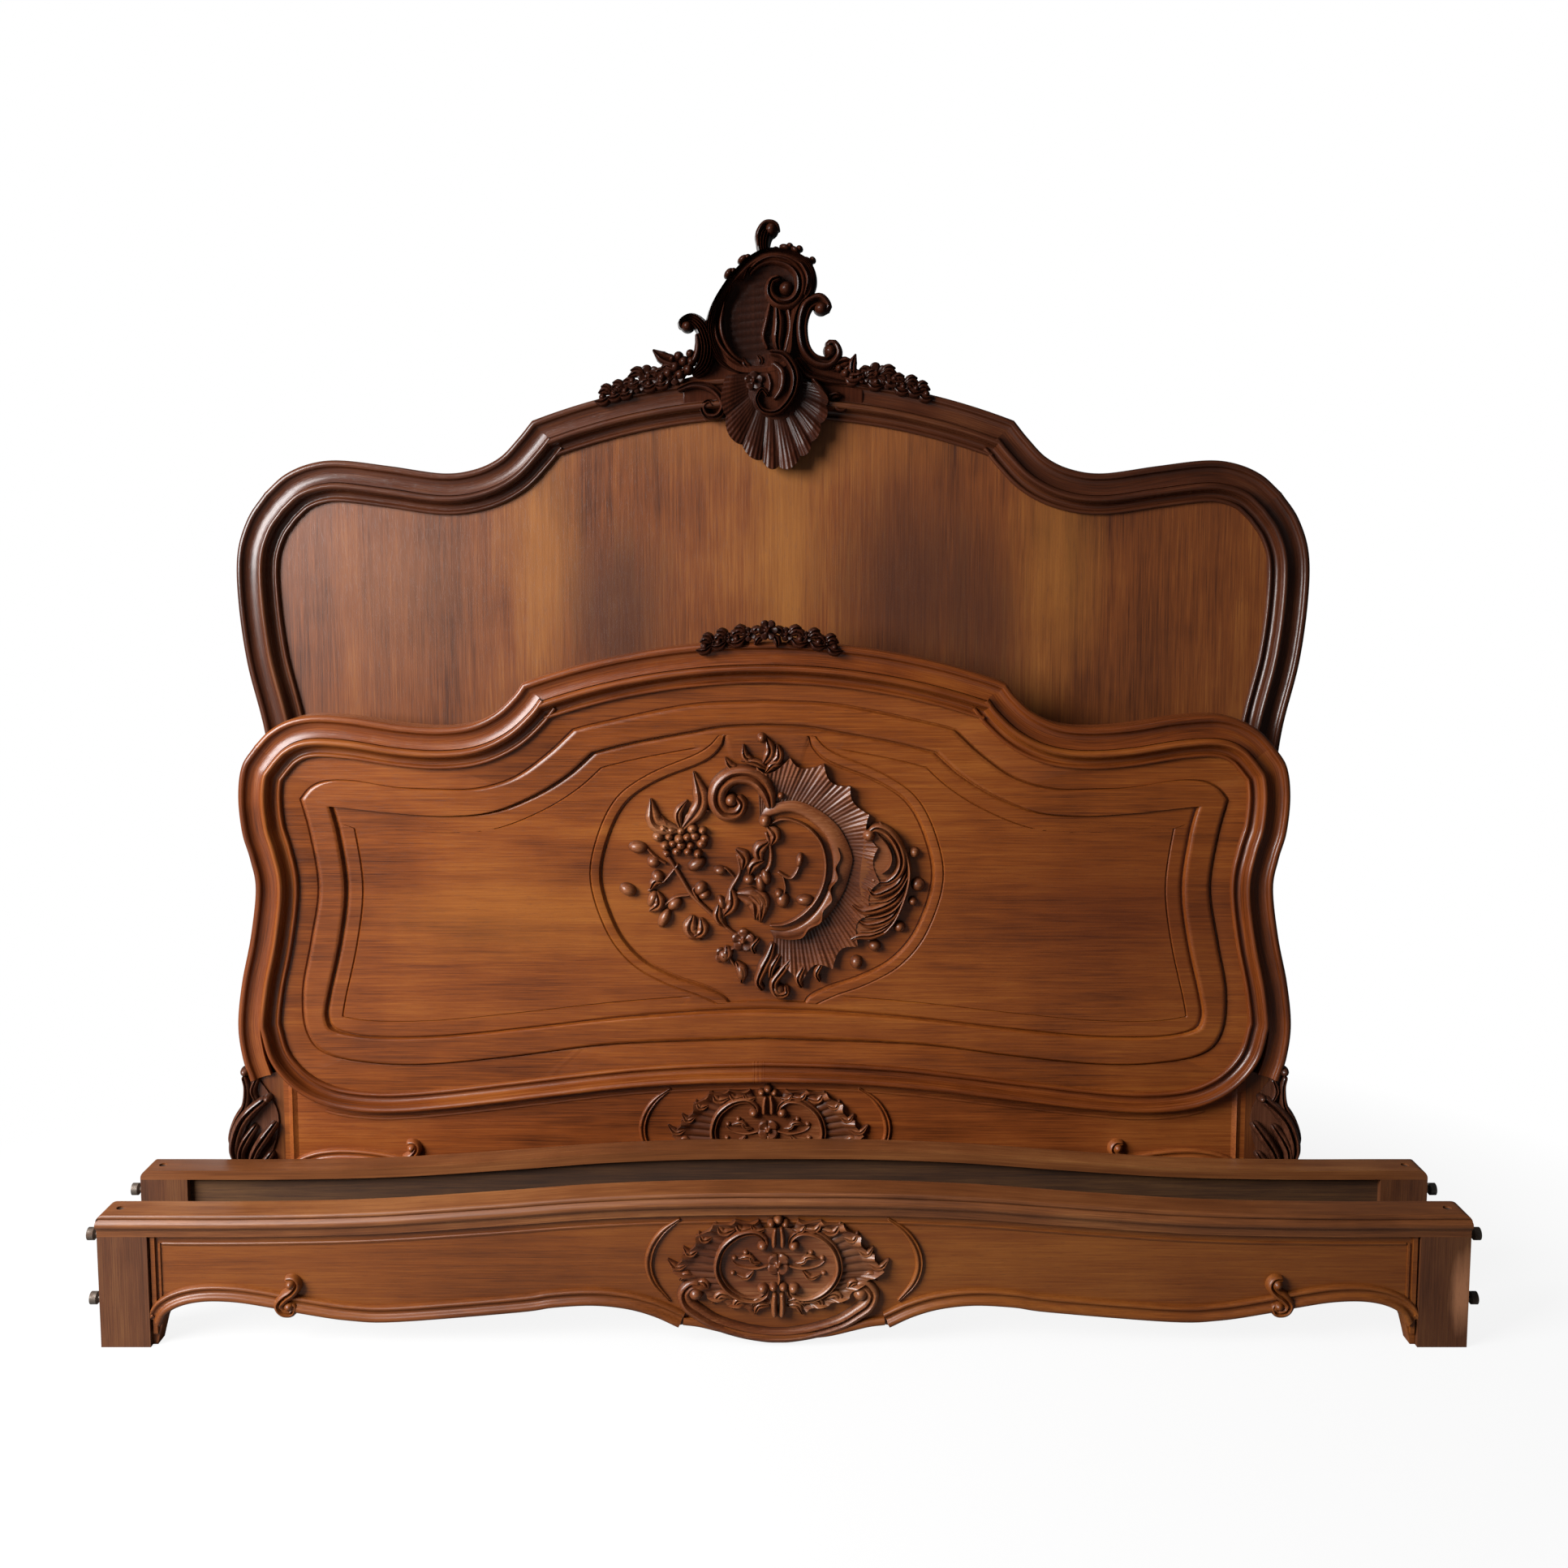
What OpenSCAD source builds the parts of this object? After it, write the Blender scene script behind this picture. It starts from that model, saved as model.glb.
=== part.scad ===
// Carved walnut double bed, taken apart as it is stored: the headboard stands at the back,
// the footboard in front of it, and the two side rails stand on edge before them.
// X runs along the width, -Y faces the viewer and Z is up. Every board's own y = 0 is the
// plane of its flat face; mouldings and carving stand in front of it, at negative y.

/* [Headboard] */
// Width of the headboard across its bulges
head_width = 1684; // [1560:2:1800]
// Height of the headboard's two shoulders
head_shoulder = 1259; // [1180:1:1330]
// How far the arch rises over the shoulders, without the crest
head_arch_rise = 130; // [111:1:180]
// Half the width of the arch, out to its corners
head_arch_half = 375; // [340:1:410]
// Height of the top edge of the headboard's lower rail
head_rail_top = 466; // [462:1:500]
// Height of the lower edge of that rail above the floor
head_rail_low = 210; // [160:1:260]

/* [Footboard] */
// Width of the footboard across its lower bulges
foot_width = 1628; // [1540:2:1700]
// Height of the footboard's two shoulders
foot_shoulder = 871; // [820:1:920]
// How far the footboard's arch rises over its shoulders
foot_arch_rise = 112; // [99:1:150]
// Half the width of that arch
foot_arch_half = 366; // [330:1:400]
// Height at which the legs meet the posts
leg_height = 300; // [285:1:315]
// Height of the footboard's scalloped apron above the floor
apron_height = 100; // [85:1:110]

/* [Frames] */
// Thickness of the posts and top rails behind their flat face
frame_thick = 30; // [26:1:40]
// Width of the moulded edge, from the outside to the panel moulding
edge_wide = 34; // [32:1:36]
// Thickness of the two panels
panel_thick = 12; // [9:1:16]
// How far the panel mouldings stand proud
ring_proud = 20; // [16:1:24]
// Width of the panel mouldings
ring_wide = 32; // [30:1:36]

/* [Side rails] */
// Length of a side rail over its wood
rail_length = 1930; // [1850:5:2050]
// Height of a side rail at its ends
rail_height = 195; // [180:1:215]
// How much higher its top edge is in the middle
rail_camber = 32; // [20:1:40]
// Thickness of the shaped board
rail_thick = 24; // [20:1:28]
// Depth of the end blocks, front to back
block_depth = 44; // [42:1:50]
// Width of the end blocks
block_wide = 70; // [66:1:80]
// Height of the cap's moulding
cap_height = 33; // [30:1:38]
// Thickness of the cap behind its moulding
cap_thick = 14; // [12:1:18]
// Depth of the ledger that carries the slats
ledger_deep = 24; // [18:1:26]
// Height of the ledger
ledger_high = 30; // [20:1:36]

/* [Bed fittings] */
// Radius of a stud's neck
stud_neck = 5; // [4:0.5:5.5]
// Radius of a stud's head
stud_head = 9; // [8:0.5:9.5]
// How far the studs stand out of the rail's end
stud_reach = 21; // [18:1:26]
// Height of the lower stud above the rail's foot
stud_low = 62; // [58:1:66]
// Distance between the two studs
stud_pitch = 95; // [88:1:98]
// How far the cam draws the studs in
cam_throw = 4; // [2:0.5:4]
// Radius of the key hole, in which the cam turns
key_radius = 6; // [6:0.5:7]
// Distance of the key hole from the rail's end
key_inset = 26; // [25:1:30]
// Thickness of the keyhole plates
plate_thick = 4; // [3:0.5:5]
// Height of the lower keyholes above the floor
keyhole_low = 340; // [338:1:342]

/* [Standing] */
// Clear space between the two rails
rail_gap = 106; // [60:1:130]
// From the back rail's face to the footboard's face
foot_stand = 64; // [58:1:90]
// From the footboard's face to the headboard's face
head_stand = 103; // [95:1:130]
// How far the footboard stands left of the rails' middle
foot_shift = 30; // [0:1:60]
// How far the headboard stands left of the rails' middle
head_shift = 17; // [0:1:60]

/* [Hidden] */
$fn = 48;

walnut = "#7a4526";
walnut_dark = "#4a281a";
rough_oak = "#6d4a2f";
old_iron = "#5b5048";

// Places of the four boards, front to back
carving_proud = 16;
block_face = 8;
stack = carving_proud + 2 * (block_depth - block_face) + rail_gap + foot_stand + head_stand
    + frame_thick;
front_rail_y = -stack / 2 + carving_proud;
back_rail_y = front_rail_y + 2 * (block_depth - block_face) + rail_gap;
foot_y = back_rail_y + foot_stand;
head_y = foot_y + head_stand;

// Plane geometry: points are [x, z], seen from the front
function spline_at(a, b, c, d, t) =
    0.5 * (2 * b + (c - a) * t + (2 * a - 5 * b + 4 * c - d) * t * t
        + (3 * b - a - 3 * c + d) * t * t * t);
function spline(p, steps) = let (n = len(p) - 1) [
    for (i = [0:n - 1]) for (j = [0:steps - 1]) spline_at(
        i > 0 ? p[i - 1] : 2 * p[0] - p[1], p[i], p[i + 1],
        i < n - 1 ? p[i + 2] : 2 * p[n] - p[n - 1], j / steps),
    p[n]
];
function reverse(p) = [for (i = [len(p) - 1:-1:0]) p[i]];
function mirrored(p) = [for (q = reverse(p)) [-q[0], q[1]]];
function slice(p, from, to) = [for (i = [from:to]) p[i]];
function moved(p, dx, dz) = [for (q = p) [q[0] + dx, q[1] + dz]];
function unit(v) = v / norm(v);
function left_of(v) = [-v[1], v[0]];
// Direction in which an offset moves point i, long enough to keep a mitre's full width
function mitre(p, i, closed) = let (
    n = len(p),
    before = closed || i > 0 ? unit(p[i] - p[(i + n - 1) % n]) : unit(p[1] - p[0]),
    after = closed || i < n - 1 ? unit(p[(i + 1) % n] - p[i]) : before,
    m = unit(left_of(before) + left_of(after))
) m / max(0.4, m * left_of(before));
function offset_path(p, d, closed = false) = [
    for (i = [0:len(p) - 1]) p[i] + d * mitre(p, i, closed)
];
// Height of a round arch at x, from its crown and its half width and rise
function arch_z(x, crown, half, rise) = let (r = (half * half + rise * rise) / (2 * rise))
    crown - r + sqrt(r * r - x * x);
function arch(crown, half, rise, steps) = [
    for (i = [1:steps]) let (x = half * (1 - i / steps)) [x, arch_z(x, crown, half, rise)]
];

// A closed solid from rings of points, each ring seen the same way round
module rings(rows, closed = false) {
    n = len(rows);
    m = len(rows[0]);
    walls = [
        for (i = [0:n - (closed ? 1 : 2)]) for (j = [0:m - 1]) let (
            a = i * m + j,
            b = i * m + (j + 1) % m,
            c = ((i + 1) % n) * m + (j + 1) % m,
            d = ((i + 1) % n) * m + j
        ) each [[a, b, c], [a, c, d]]
    ];
    caps = closed ? [] : [
        [for (j = [m - 1:-1:0]) j],
        [for (j = [0:m - 1]) (n - 1) * m + j]
    ];
    polyhedron([for (r = rows) each r], concat(walls, caps));
}
function mitres(path, closed = false) = [for (i = [0:len(path) - 1]) mitre(path, i, closed)];
// A moulding: a section of [distance in from the path, y], carried along a path.
// ways are the directions of its own inside at each point, where they aren't the path's
module moulding(path, section, closed = false, from = 0, to = -1, ways = undef) {
    last = to < 0 ? len(path) - 1 : to;
    rings([
        for (i = [from:last]) let (m = is_undef(ways) ? mitre(path, i, closed) : ways[i])
            [for (s = section) [path[i][0] + s[0] * m[0], s[1], path[i][1] + s[0] * m[1]]]
    ], closed);
}
// A flat board, cut to an outline, from y = front to y = back
module board(outline, front, back)
    translate([0, back, 0]) rotate([90, 0, 0]) linear_extrude(back - front) polygon(outline);
module both_sides() {
    children();
    mirror([1, 0, 0]) children();
}

// Points that a curve gets between two of its own, and along half an arch
fine = 2;
arch_steps = 6;

// Outlines. Each half runs up on the right, from the post's foot to the middle of the arch
head_half = head_width / 2;
head_arch = head_shoulder + head_arch_rise;
// x of a point drawn this far in from the side; 467 is as far as the arch's corner
function head_in(far) = head_half - far * (head_half - head_arch_half) / 467;
head_side = concat(
    [[head_in(48), head_rail_top]],
    spline([for (q = [
        [48, -640], [47, -540], [36, -427], [12, -318], [1, -220], [2, -145], [20, -90], [48, -50]
    ]) [head_in(q[0]), head_shoulder + q[1]]], fine)
);
head_corner = 61;
head_top = spline([for (q = [
    [48, -50], [80, -22], [120, -5], [167, 0], [245, -9], [326, -20], [376, -14], [415, 4],
    [444, 33], [467, head_corner]
]) [head_in(q[0]), head_shoulder + q[1]]], fine);
head_rise = head_arch_rise - head_corner;
head_half_line = concat(
    head_side, slice(head_top, 1, len(head_top) - 1),
    arch(head_arch, head_arch_half, head_rise, arch_steps)
);
head_line = concat(head_half_line, slice(mirrored(head_half_line), 1, len(head_half_line) - 1));
head_joint = len(head_side) - 1;

foot_half = foot_width / 2;
foot_arch = foot_shoulder + foot_arch_rise;
// x of a point drawn this far in from the side; 448 is as far as the arch's corner
function foot_in(far) = foot_half - far * (foot_half - foot_arch_half) / 448;
// z of a point drawn this far over the leg, on a post drawn 571 high
post_drawn = 571;
function over_leg(up) = leg_height + up * (foot_shoulder - leg_height) / post_drawn;
function from_leg(points) = [for (q = points) [foot_in(q[0]), over_leg(q[1])]];
function from_shoulder(points) = [for (q = points) [foot_in(q[0]), foot_shoulder + q[1]]];
foot_side = spline(concat(
    from_leg([[16, 0], [5, 38], [0, 90], [8, 155], [24, 228], [34, 303]]),
    from_shoulder([[27, -222], [16, -180], [12, -125], [19, -78], [40, -46]])
), fine);
foot_corner_rise = 49;
foot_top = spline(from_shoulder([
    [40, -46], [62, -24], [93, -7], [133, 0], [190, -4], [260, -15], [318, -19], [366, -14],
    [404, 3], [432, 28], [448, foot_corner_rise]
]), fine);
foot_rise = foot_arch_rise - foot_corner_rise;
foot_half_line = concat(
    foot_side, slice(foot_top, 1, len(foot_top) - 1),
    arch(foot_arch, foot_arch_half, foot_rise, arch_steps)
);
foot_line = concat(foot_half_line, slice(mirrored(foot_half_line), 1, len(foot_half_line) - 1));
foot_joint = len(foot_side) - 1;

// Where the footboard's panel moulding leaves the posts, and its own lower sweep
foot_turn = 2 * fine;
frame_wide = edge_wide + ring_wide / 2;
foot_inner = offset_path(foot_line, frame_wide);
foot_corner = foot_inner[foot_turn];
foot_sweep = spline([
    [0, leg_height + 14], [115, leg_height + 11], [230, leg_height + 3],
    [380, leg_height - 15], [500, leg_height - 29],
    [foot_corner[0] - 178, leg_height - 35], [foot_corner[0] - 112, leg_height - 30],
    [foot_corner[0] - 69, leg_height - 16], [foot_corner[0] - 36, leg_height + 8],
    [foot_corner[0] - 12, leg_height + 42], foot_corner
], 2);
foot_ring_half = concat(
    foot_sweep, slice(foot_inner, foot_turn + 1, len(foot_half_line) - 1)
);
foot_ring_path = concat(
    foot_ring_half, slice(mirrored(foot_ring_half), 1, len(foot_ring_half) - 2)
);
foot_middle = len(foot_half_line) - 1;
foot_ring_ways_half = concat(
    slice(mitres(foot_ring_path, true), 0, len(foot_sweep) - 1),
    slice(mitres(foot_line), foot_turn + 1, foot_middle)
);
foot_ring_ways = concat(
    foot_ring_ways_half, slice(mirrored(foot_ring_ways_half), 1, len(foot_ring_ways_half) - 2)
);
head_middle = len(head_half_line) - 1;
head_ring_path = offset_path(head_line, frame_wide);

// Room left where a separate moulding lies in its rebate
seat = 1.2;

// Sections, as [distance in, y]. The flat ledge at the end carries the panel moulding
frame_section = [
    [0, frame_thick], [0, -6], [3, -12], [8, -13], [11, -9], [21, -5],
    [edge_wide, -7], [edge_wide, 0], [frame_wide, 0], [frame_wide, frame_thick]
];
ring_section = let (h = ring_wide / 2 - seat, p = ring_proud) [
    [-h, 0], [-h, -0.5 * p], [4 - h, -0.95 * p], [9 - h, -p], [15 - h, -0.3 * p],
    [h - 10, -0.12 * p], [h - 6, -0.34 * p], [h, 0]
];

// A plain swelling on the moulding, as proud as the panel moulding, that carries the shell
core_section = [
    [2, -2], [2, 2 - ring_proud], [4, -ring_proud],
    [edge_wide - 2, -ring_proud], [edge_wide - 2, -2]
];
cap_back = block_depth - block_face;
cap_section = [
    [0, cap_back], [0, -8], [4, -11], [8, -9], [13, -14], [19, -13],
    [25, -block_face], [cap_height, -block_face], [cap_height, 0], [cap_thick, 0], [cap_thick, cap_back]
];
lobe_section = [[0, 0], [0, -6], [4, -8], [9, -5], [11, 0]];
edge_section = [[0, 0], [0, -7], [5, -10], [12, -4], [19, -7], [24, 0]];

module at_headboard() translate([-head_shift, head_y, 0]) children();
module at_footboard() translate([-foot_shift, foot_y, 0]) children();
module at_front_rail() translate([0, front_rail_y, 0]) children();
module at_back_rail() translate([0, back_rail_y, 0]) rotate([0, 0, 180]) children();

// Carver's forms. Each has a flat back in the plane y = 0 and stands out towards -y
half_round = [[-1, 0], [-0.7, 0.75], [0, 1], [0.7, 0.75], [1, 0]];
vee = [[-1, 0], [0, 1], [1, 0]];
function taper(t, w) = w[0] * (1 - t) * (1 - 2 * t) + 4 * w[1] * t * (1 - t) + w[2] * t * (2 * t - 1);
function curve(p, q, bend, n) = [
    for (i = [0:n]) let (t = i / n) p + (q - p) * t + left_of(q - p) * bend * 4 * t * (1 - t)
];
function spiral(c, r0, r1, a0, a1, n) = [
    for (i = [0:n]) let (t = i / n, r = r0 + (r1 - r0) * t, a = a0 + (a1 - a0) * t)
        c + r * [cos(a), sin(a)]
];
// A tapering rib along a path; w holds its half width at the start, middle and end
module rib(path, w, high, shape = half_round) rings([
    for (i = [0:len(path) - 1]) let (
        m = mitre(path, i, false),
        r = max(0.8, taper(i / (len(path) - 1), w)),
        h = high * (0.35 + 0.65 * min(1, r / max(w)))
    ) [for (s = shape) [path[i][0] + r * s[0] * m[0], -h * s[1], path[i][1] + r * s[0] * m[1]]]
]);
module leaf(from, to, wide, high, bend = 0.12)
    rib(curve(from, to, bend, 4), [0.35 * wide, wide, 0.5], high, vee);
module boss(at, r, high) translate([at[0], 0, at[1]]) rotate([90, 0, 0])
    rotate_extrude($fn = 24)
        polygon([[0, 0], [r, 0], [r, 0.45 * high], [0.6 * r, 0.9 * high], [0, high]]);
// An open flower: a button in a shallow dish of petals
module flower(at, r, high) translate([at[0], 0, at[1]]) rotate([90, 0, 0])
    rotate_extrude($fn = 24) polygon([
        [0, 0], [r, 0], [r, 0.5 * high], [0.75 * r, 0.7 * high],
        [0.4 * r, 0.4 * high], [0.3 * r, high], [0, high]
    ]);
// Flutes that spread from c; each reaches long[k] at its own angle
module fan(c, near, long, a0, a1, high) for (k = [0:len(long) - 1]) {
    step = (a1 - a0) / (len(long) - 1);
    way = [cos(a0 + k * step), sin(a0 + k * step)];
    wide = abs(sin(step / 2));
    rib(
        [c + near * way, c + 0.5 * (near + long[k]) * way, c + long[k] * way],
        [wide * near, wide * 0.5 * (near + long[k]), wide * 0.8 * long[k]],
        high, vee
    );
}
// A ground that ties the carving together, cut out of one board
module ground(outline, thick) board(outline, -thick, 0);
function ruffle(c, rx, rz, lobes, depth, n) = [
    for (i = [0:n - 1]) let (a = 360 * i / n, k = 1 + depth * cos(lobes * a))
        c + [rx * k * cos(a), rz * k * sin(a)]
];

// The lower edge of a rail or of the footboard's apron, from its end to the middle.
// span is half the clear length; the patterns at the ends and the middle keep their size
function scallops(span) = [
    [span - 14, 30], [span - 24, 48], [span - 46, 60], [span - 78, 66], [span - 120, 65],
    [span - 165, 58], [span - 215, 48], [span - 280, 38], [span - 350, 36],
    [375, 50], [325, 57], [270, 60], [222, 55], [184, 44], [150, 28]
];
middle_lobe = [[138, 30], [120, 30], [92, 21], [62, 14], [30, 11], [0, 10]];
function whole(half) = concat(half, slice(mirrored(half), 1, len(half) - 1));
function lower_edge(span) =
    whole(concat([[span, 0], [span - 7, 0], [span - 11, 16]], scallops(span), middle_lobe));
volute_in = 195;

module edge_moulding(span) {
    path = reverse(scallops(span));
    last = len(path) - 1;
    ways = [for (i = [0:last]) i < last ? mitre(path, i, false) : [0.5, 0.85]];
    for (side = [1, -1]) {
        moulding(side > 0 ? path : mirrored(path), edge_section, ways = side > 0 ? ways : mirrored(ways));
        rib(side > 0 ? crescent : mirrored(crescent), [2, 4.5, 2], 5);
        at = [side * (span - volute_in), 75];
        rib(
            [for (q = concat(
                spiral([0, 11], 6, 12, 200, -50, 5),
                spiral([0, -11], 12, 6, 130, 380, 5)
            )) at + [side * q[0], q[1]]],
            [3, 5, 3], 12
        );
    }
    moulding(reverse(whole(middle_lobe)), lobe_section);
}
crescent = [[148, 182], [172, 166], [187, 142], [190, 118], [182, 92], [164, 68]];

// The cartouche of the rails and the apron: two facing C-scrolls on a ribbed shell,
// palmettes above and below, and a broad C-scroll along the lobe
module cartouche() {
    c = [0, 120];
    ground(ruffle(c, 130, 56, 12, 0.04, 48), 3);
    for (side = [1, -1]) {
        rib(
            [for (q = spiral([0, 0], 1, 1, 70, -70, 8)) c + [side * (26 + 56 * q[0]), 49 * q[1]]],
            [4, 5, 4], 12
        );
        boss(c + [side * 27, 31], 7, 14);
        boss(c + [side * 27, -31], 7, 14);
        for (k = [0:4]) {
            a = 34 - 17 * k;
            way = [side * cos(a), sin(a)];
            rib([c + 88 * way, c + 108 * way, c + (130 - 6 * abs(k - 2)) * way], [8, 13, 7], 9, vee);
        }
        leaf(c + [side * 34, 52], c + [side * 92, 62], 9, 11, -0.1 * side);
        leaf(c + [side * 16, -50], c + [side * 74, -62], 8, 11, 0.1 * side);
        rib(
            [for (q = concat(
                spiral([119, -46], 9, 13, 500, 290, 5), [[84, -76], [44, -87], [0, -91]]
            )) c + [side * q[0], q[1]]],
            [4, 7, 7], carving_proud
        );
    }
    fan(c + [0, 28], 16, [38, 41, 44, 41, 38], 50, 130, 13);
    fan(c + [0, -30], 16, [46, 50, 46], 245, 295, 13);
    flower(c, 16, 10);
}

// Headboard
module head_post(side) {
    at_headboard() mirror([side < 0 ? 1 : 0, 0, 0]) difference() {
        union() {
            moulding(
                concat([head_line[0] - [0, 1]], slice(head_line, 1, head_joint + 1)), frame_section,
                to = head_joint
            );
            translate([head_leg_in - tuck, -leg_face, 0])
                cube([frame_wide + 2 * tuck, leg_face + frame_thick + tuck, head_rail_top]);
        }
        translate([0, -leg_face, 0]) keyhole_pocket(head_bolt_x);
    }
}
head_leg_in = head_line[0][0] - frame_wide;
head_bolt_x = head_leg_in + frame_wide - 18;
foot_bolt_x = foot_half - 38;
tuck = 0.1;
leg_face = 13 + tuck;
plate_wide = 24;
plate_tall = stud_pitch + 46;
plate_low = keyhole_low - 22;
pocket_deep = stud_reach + 2;
// The room for a keyhole plate and the studs' heads, sunk from the plane y = 0 towards +y
module keyhole_pocket(x) {
    translate([x - plate_wide / 2, -1, plate_low]) cube([plate_wide, 1 + plate_thick, plate_tall]);
    translate([x - stud_head - 1, -1, plate_low + 6])
        cube([2 * stud_head + 2, 1 + pocket_deep, plate_tall - 12]);
}
module keyhole_plate(x) difference() {
    translate([x - plate_wide / 2, 0, plate_low]) cube([plate_wide, plate_thick, plate_tall]);
    for (k = [0, 1]) translate([x, -1, keyhole_low + k * stud_pitch]) {
        translate([0, 0, 6]) rotate([-90, 0, 0]) cylinder(r = stud_head + 0.7, h = plate_thick + 2);
        translate([-stud_neck - 0.7, 0, -10]) cube([2 * stud_neck + 1.4, plate_thick + 2, 16]);
    }
}
module head_top_rail() color(walnut) at_headboard() {
    moulding(head_line, frame_section, from = head_joint, to = 2 * head_middle - head_joint);
    moulding(head_line, core_section, from = head_middle - 1, to = head_middle + 1);
}
module head_bottom_rail() color(walnut) at_headboard()
    translate([tuck - head_leg_in, 0, head_rail_low])
        cube([2 * (head_leg_in - tuck), frame_thick, head_rail_top - head_rail_low]);
module head_panel() color(walnut) at_headboard() board(head_ring_path, 0, panel_thick);
module head_panel_moulding() color(walnut_dark) at_headboard()
    moulding(head_ring_path, ring_section, ways = mitres(head_line));
crest_line = slice(head_line, head_middle - 2, head_middle + 2);
crest_top = [
    [-122, 1388], [-110, 1404], [-106, 1432], [-114, 1454], [-134, 1458], [-142, 1470], [-122, 1482],
    [-100, 1474], [-92, 1500], [-78, 1524], [-54, 1552], [-26, 1576], [-18, 1604], [-4, 1604],
    [2, 1578], [32, 1572], [56, 1556], [66, 1532], [62, 1508], [84, 1504], [88, 1488], [66, 1488],
    [56, 1464], [58, 1436], [70, 1424], [98, 1444], [106, 1424], [100, 1404], [122, 1388]
];
// The crest is drawn for an arch this high, and rises and falls with it
crest_drawn = 1389;
module at_crest(proud) at_headboard() translate([0, -proud, head_arch - crest_drawn]) children();
module head_crest_block() color(walnut_dark) at_headboard() board(
    concat(crest_line, moved(crest_top, 0, head_arch - crest_drawn)), -block_face, frame_thick - 6
);
module head_crest_cartouche() color(walnut_dark) at_crest(block_face) {
    ground(spline([
        [14, 1400], [27, 1424], [29, 1466], [36, 1494], [56, 1510], [62, 1532], [52, 1553],
        [30, 1567], [0, 1573], [-28, 1566], [-56, 1544], [-78, 1517], [-92, 1486], [-96, 1458],
        [-88, 1428], [-68, 1404], [-40, 1394], [14, 1400]
    ], fine), 4);
    rib(spline([
        [20, 1520], [10, 1531], [-1, 1522], [4, 1506], [20, 1501], [36, 1512], [40, 1535],
        [26, 1554], [0, 1562], [-26, 1556], [-52, 1538], [-72, 1512], [-85, 1482], [-87, 1456],
        [-79, 1430], [-64, 1412], [-44, 1404]
    ], fine), [4, 9, 5], 24);
    for (k = [0:4]) rib(
        [[-62 + 3 * abs(k - 2), 1506 - 18 * k], [-38, 1502 - 18 * k], [-14, 1490 - 15 * k]],
        [7, 6, 3], 13
    );
    leaf([6, 1488], [4, 1432], 12, 18, 0.08);
}
module head_crest_scroll_right() color(walnut_dark) at_crest(block_face) {
    rib(spline([
        [76, 1488], [82, 1496], [70, 1504], [52, 1494], [44, 1466], [48, 1434], [64, 1414],
        [86, 1410], [97, 1423], [92, 1437], [82, 1431]
    ], fine), [4, 7, 4], 20);
}
module head_crest_scroll_left() color(walnut_dark) at_crest(block_face) {
    rib(spline([
        [-138, 1458], [-134, 1471], [-118, 1473], [-106, 1456], [-101, 1430], [-106, 1406],
        [-116, 1394]
    ], fine), [4, 8, 5], 22);
}
module head_crest_finial() color(walnut_dark) at_crest(block_face) {
    leaf([-10, 1583], [-10, 1632], 12, 24, 0);
    leaf([-12, 1584], [-30, 1618], 8, 18, 0.15);
    leaf([-8, 1584], [12, 1614], 8, 18, -0.15);
    boss([-10, 1586], 8, 20);
}
module head_crest_shell() color(walnut_dark) at_crest(ring_proud) {
    c = [0, 1358];
    ground(spline([
        [70, 1374], [84, 1344], [52, 1296], [12, 1250], [-22, 1290], [-62, 1338], [-74, 1372],
        [0, 1382], [70, 1374]
    ], fine), 4);
    fan(c, 34, [84, 86, 96, 106, 96, 84, 80], 200, 344, 15);
    rib(spline([
        [-4, 1420], [16, 1412], [30, 1388], [25, 1356], [6, 1336], [-14, 1338], [-20, 1354],
        [-10, 1366]
    ], fine), [4, 10, 5], 22);
    leaf([40, 1372], [96, 1356], 10, 16, 0.15);
    leaf([-44, 1372], [-98, 1350], 10, 16, -0.15);
}
// A strip along the top of an arch on which leaves and flowers are carved
strip_section = [[-12, 4], [-12, -14], [0, -14], [0, 4]];
// Each station of a spray is [x, height over the arch, radius of its flower, or 0 for none]
module spray(stations, crown, half, rise) {
    way = stations[len(stations) - 1][0] > stations[0][0] ? 1 : -1;
    translate([0, -14, 0]) for (s = stations) {
        at = [s[0], arch_z(s[0], crown, half, rise) + s[1]];
        if (s[2] > 0) flower(at, s[2], 9);
        leaf(at + [0, -4], at + [way * 30, -12], 7, 10, -0.25 * way);
        leaf(at + [0, -4], at + [way * 16, 12], 5, 8, 0.2 * way);
    }
}
module head_crest_sprays() color(walnut_dark) at_headboard() {
    moulding(head_line, strip_section, from = head_middle - 4, to = head_middle - 2);
    moulding(head_line, strip_section, from = head_middle + 2, to = head_middle + 4);
    spray(
        [[128, 4, 0], [152, 6, 11], [180, 4, 8], [206, 2, 0]],
        head_arch, head_arch_half, head_rise
    );
    spray(
        [[-150, 5, 10], [-174, 8, 14], [-200, 3, 9], [-222, 2, 0]],
        head_arch, head_arch_half, head_rise
    );
}
module head_keyhole_plates() color(old_iron) at_headboard() translate([0, -leg_face, 0])
    both_sides() keyhole_plate(head_bolt_x);
// Countersunk screws of a pair of keyhole plates, seated in the plates
module plate_screws(x) both_sides() for (z = [plate_low + 5, plate_low + plate_tall - 4])
    translate([x, 0, z]) rotate([90, 0, 0]) cylinder(r = 3, h = 1);
module head_plate_screws() color(old_iron) at_headboard() translate([0, -leg_face, 0])
    plate_screws(head_bolt_x);

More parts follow.
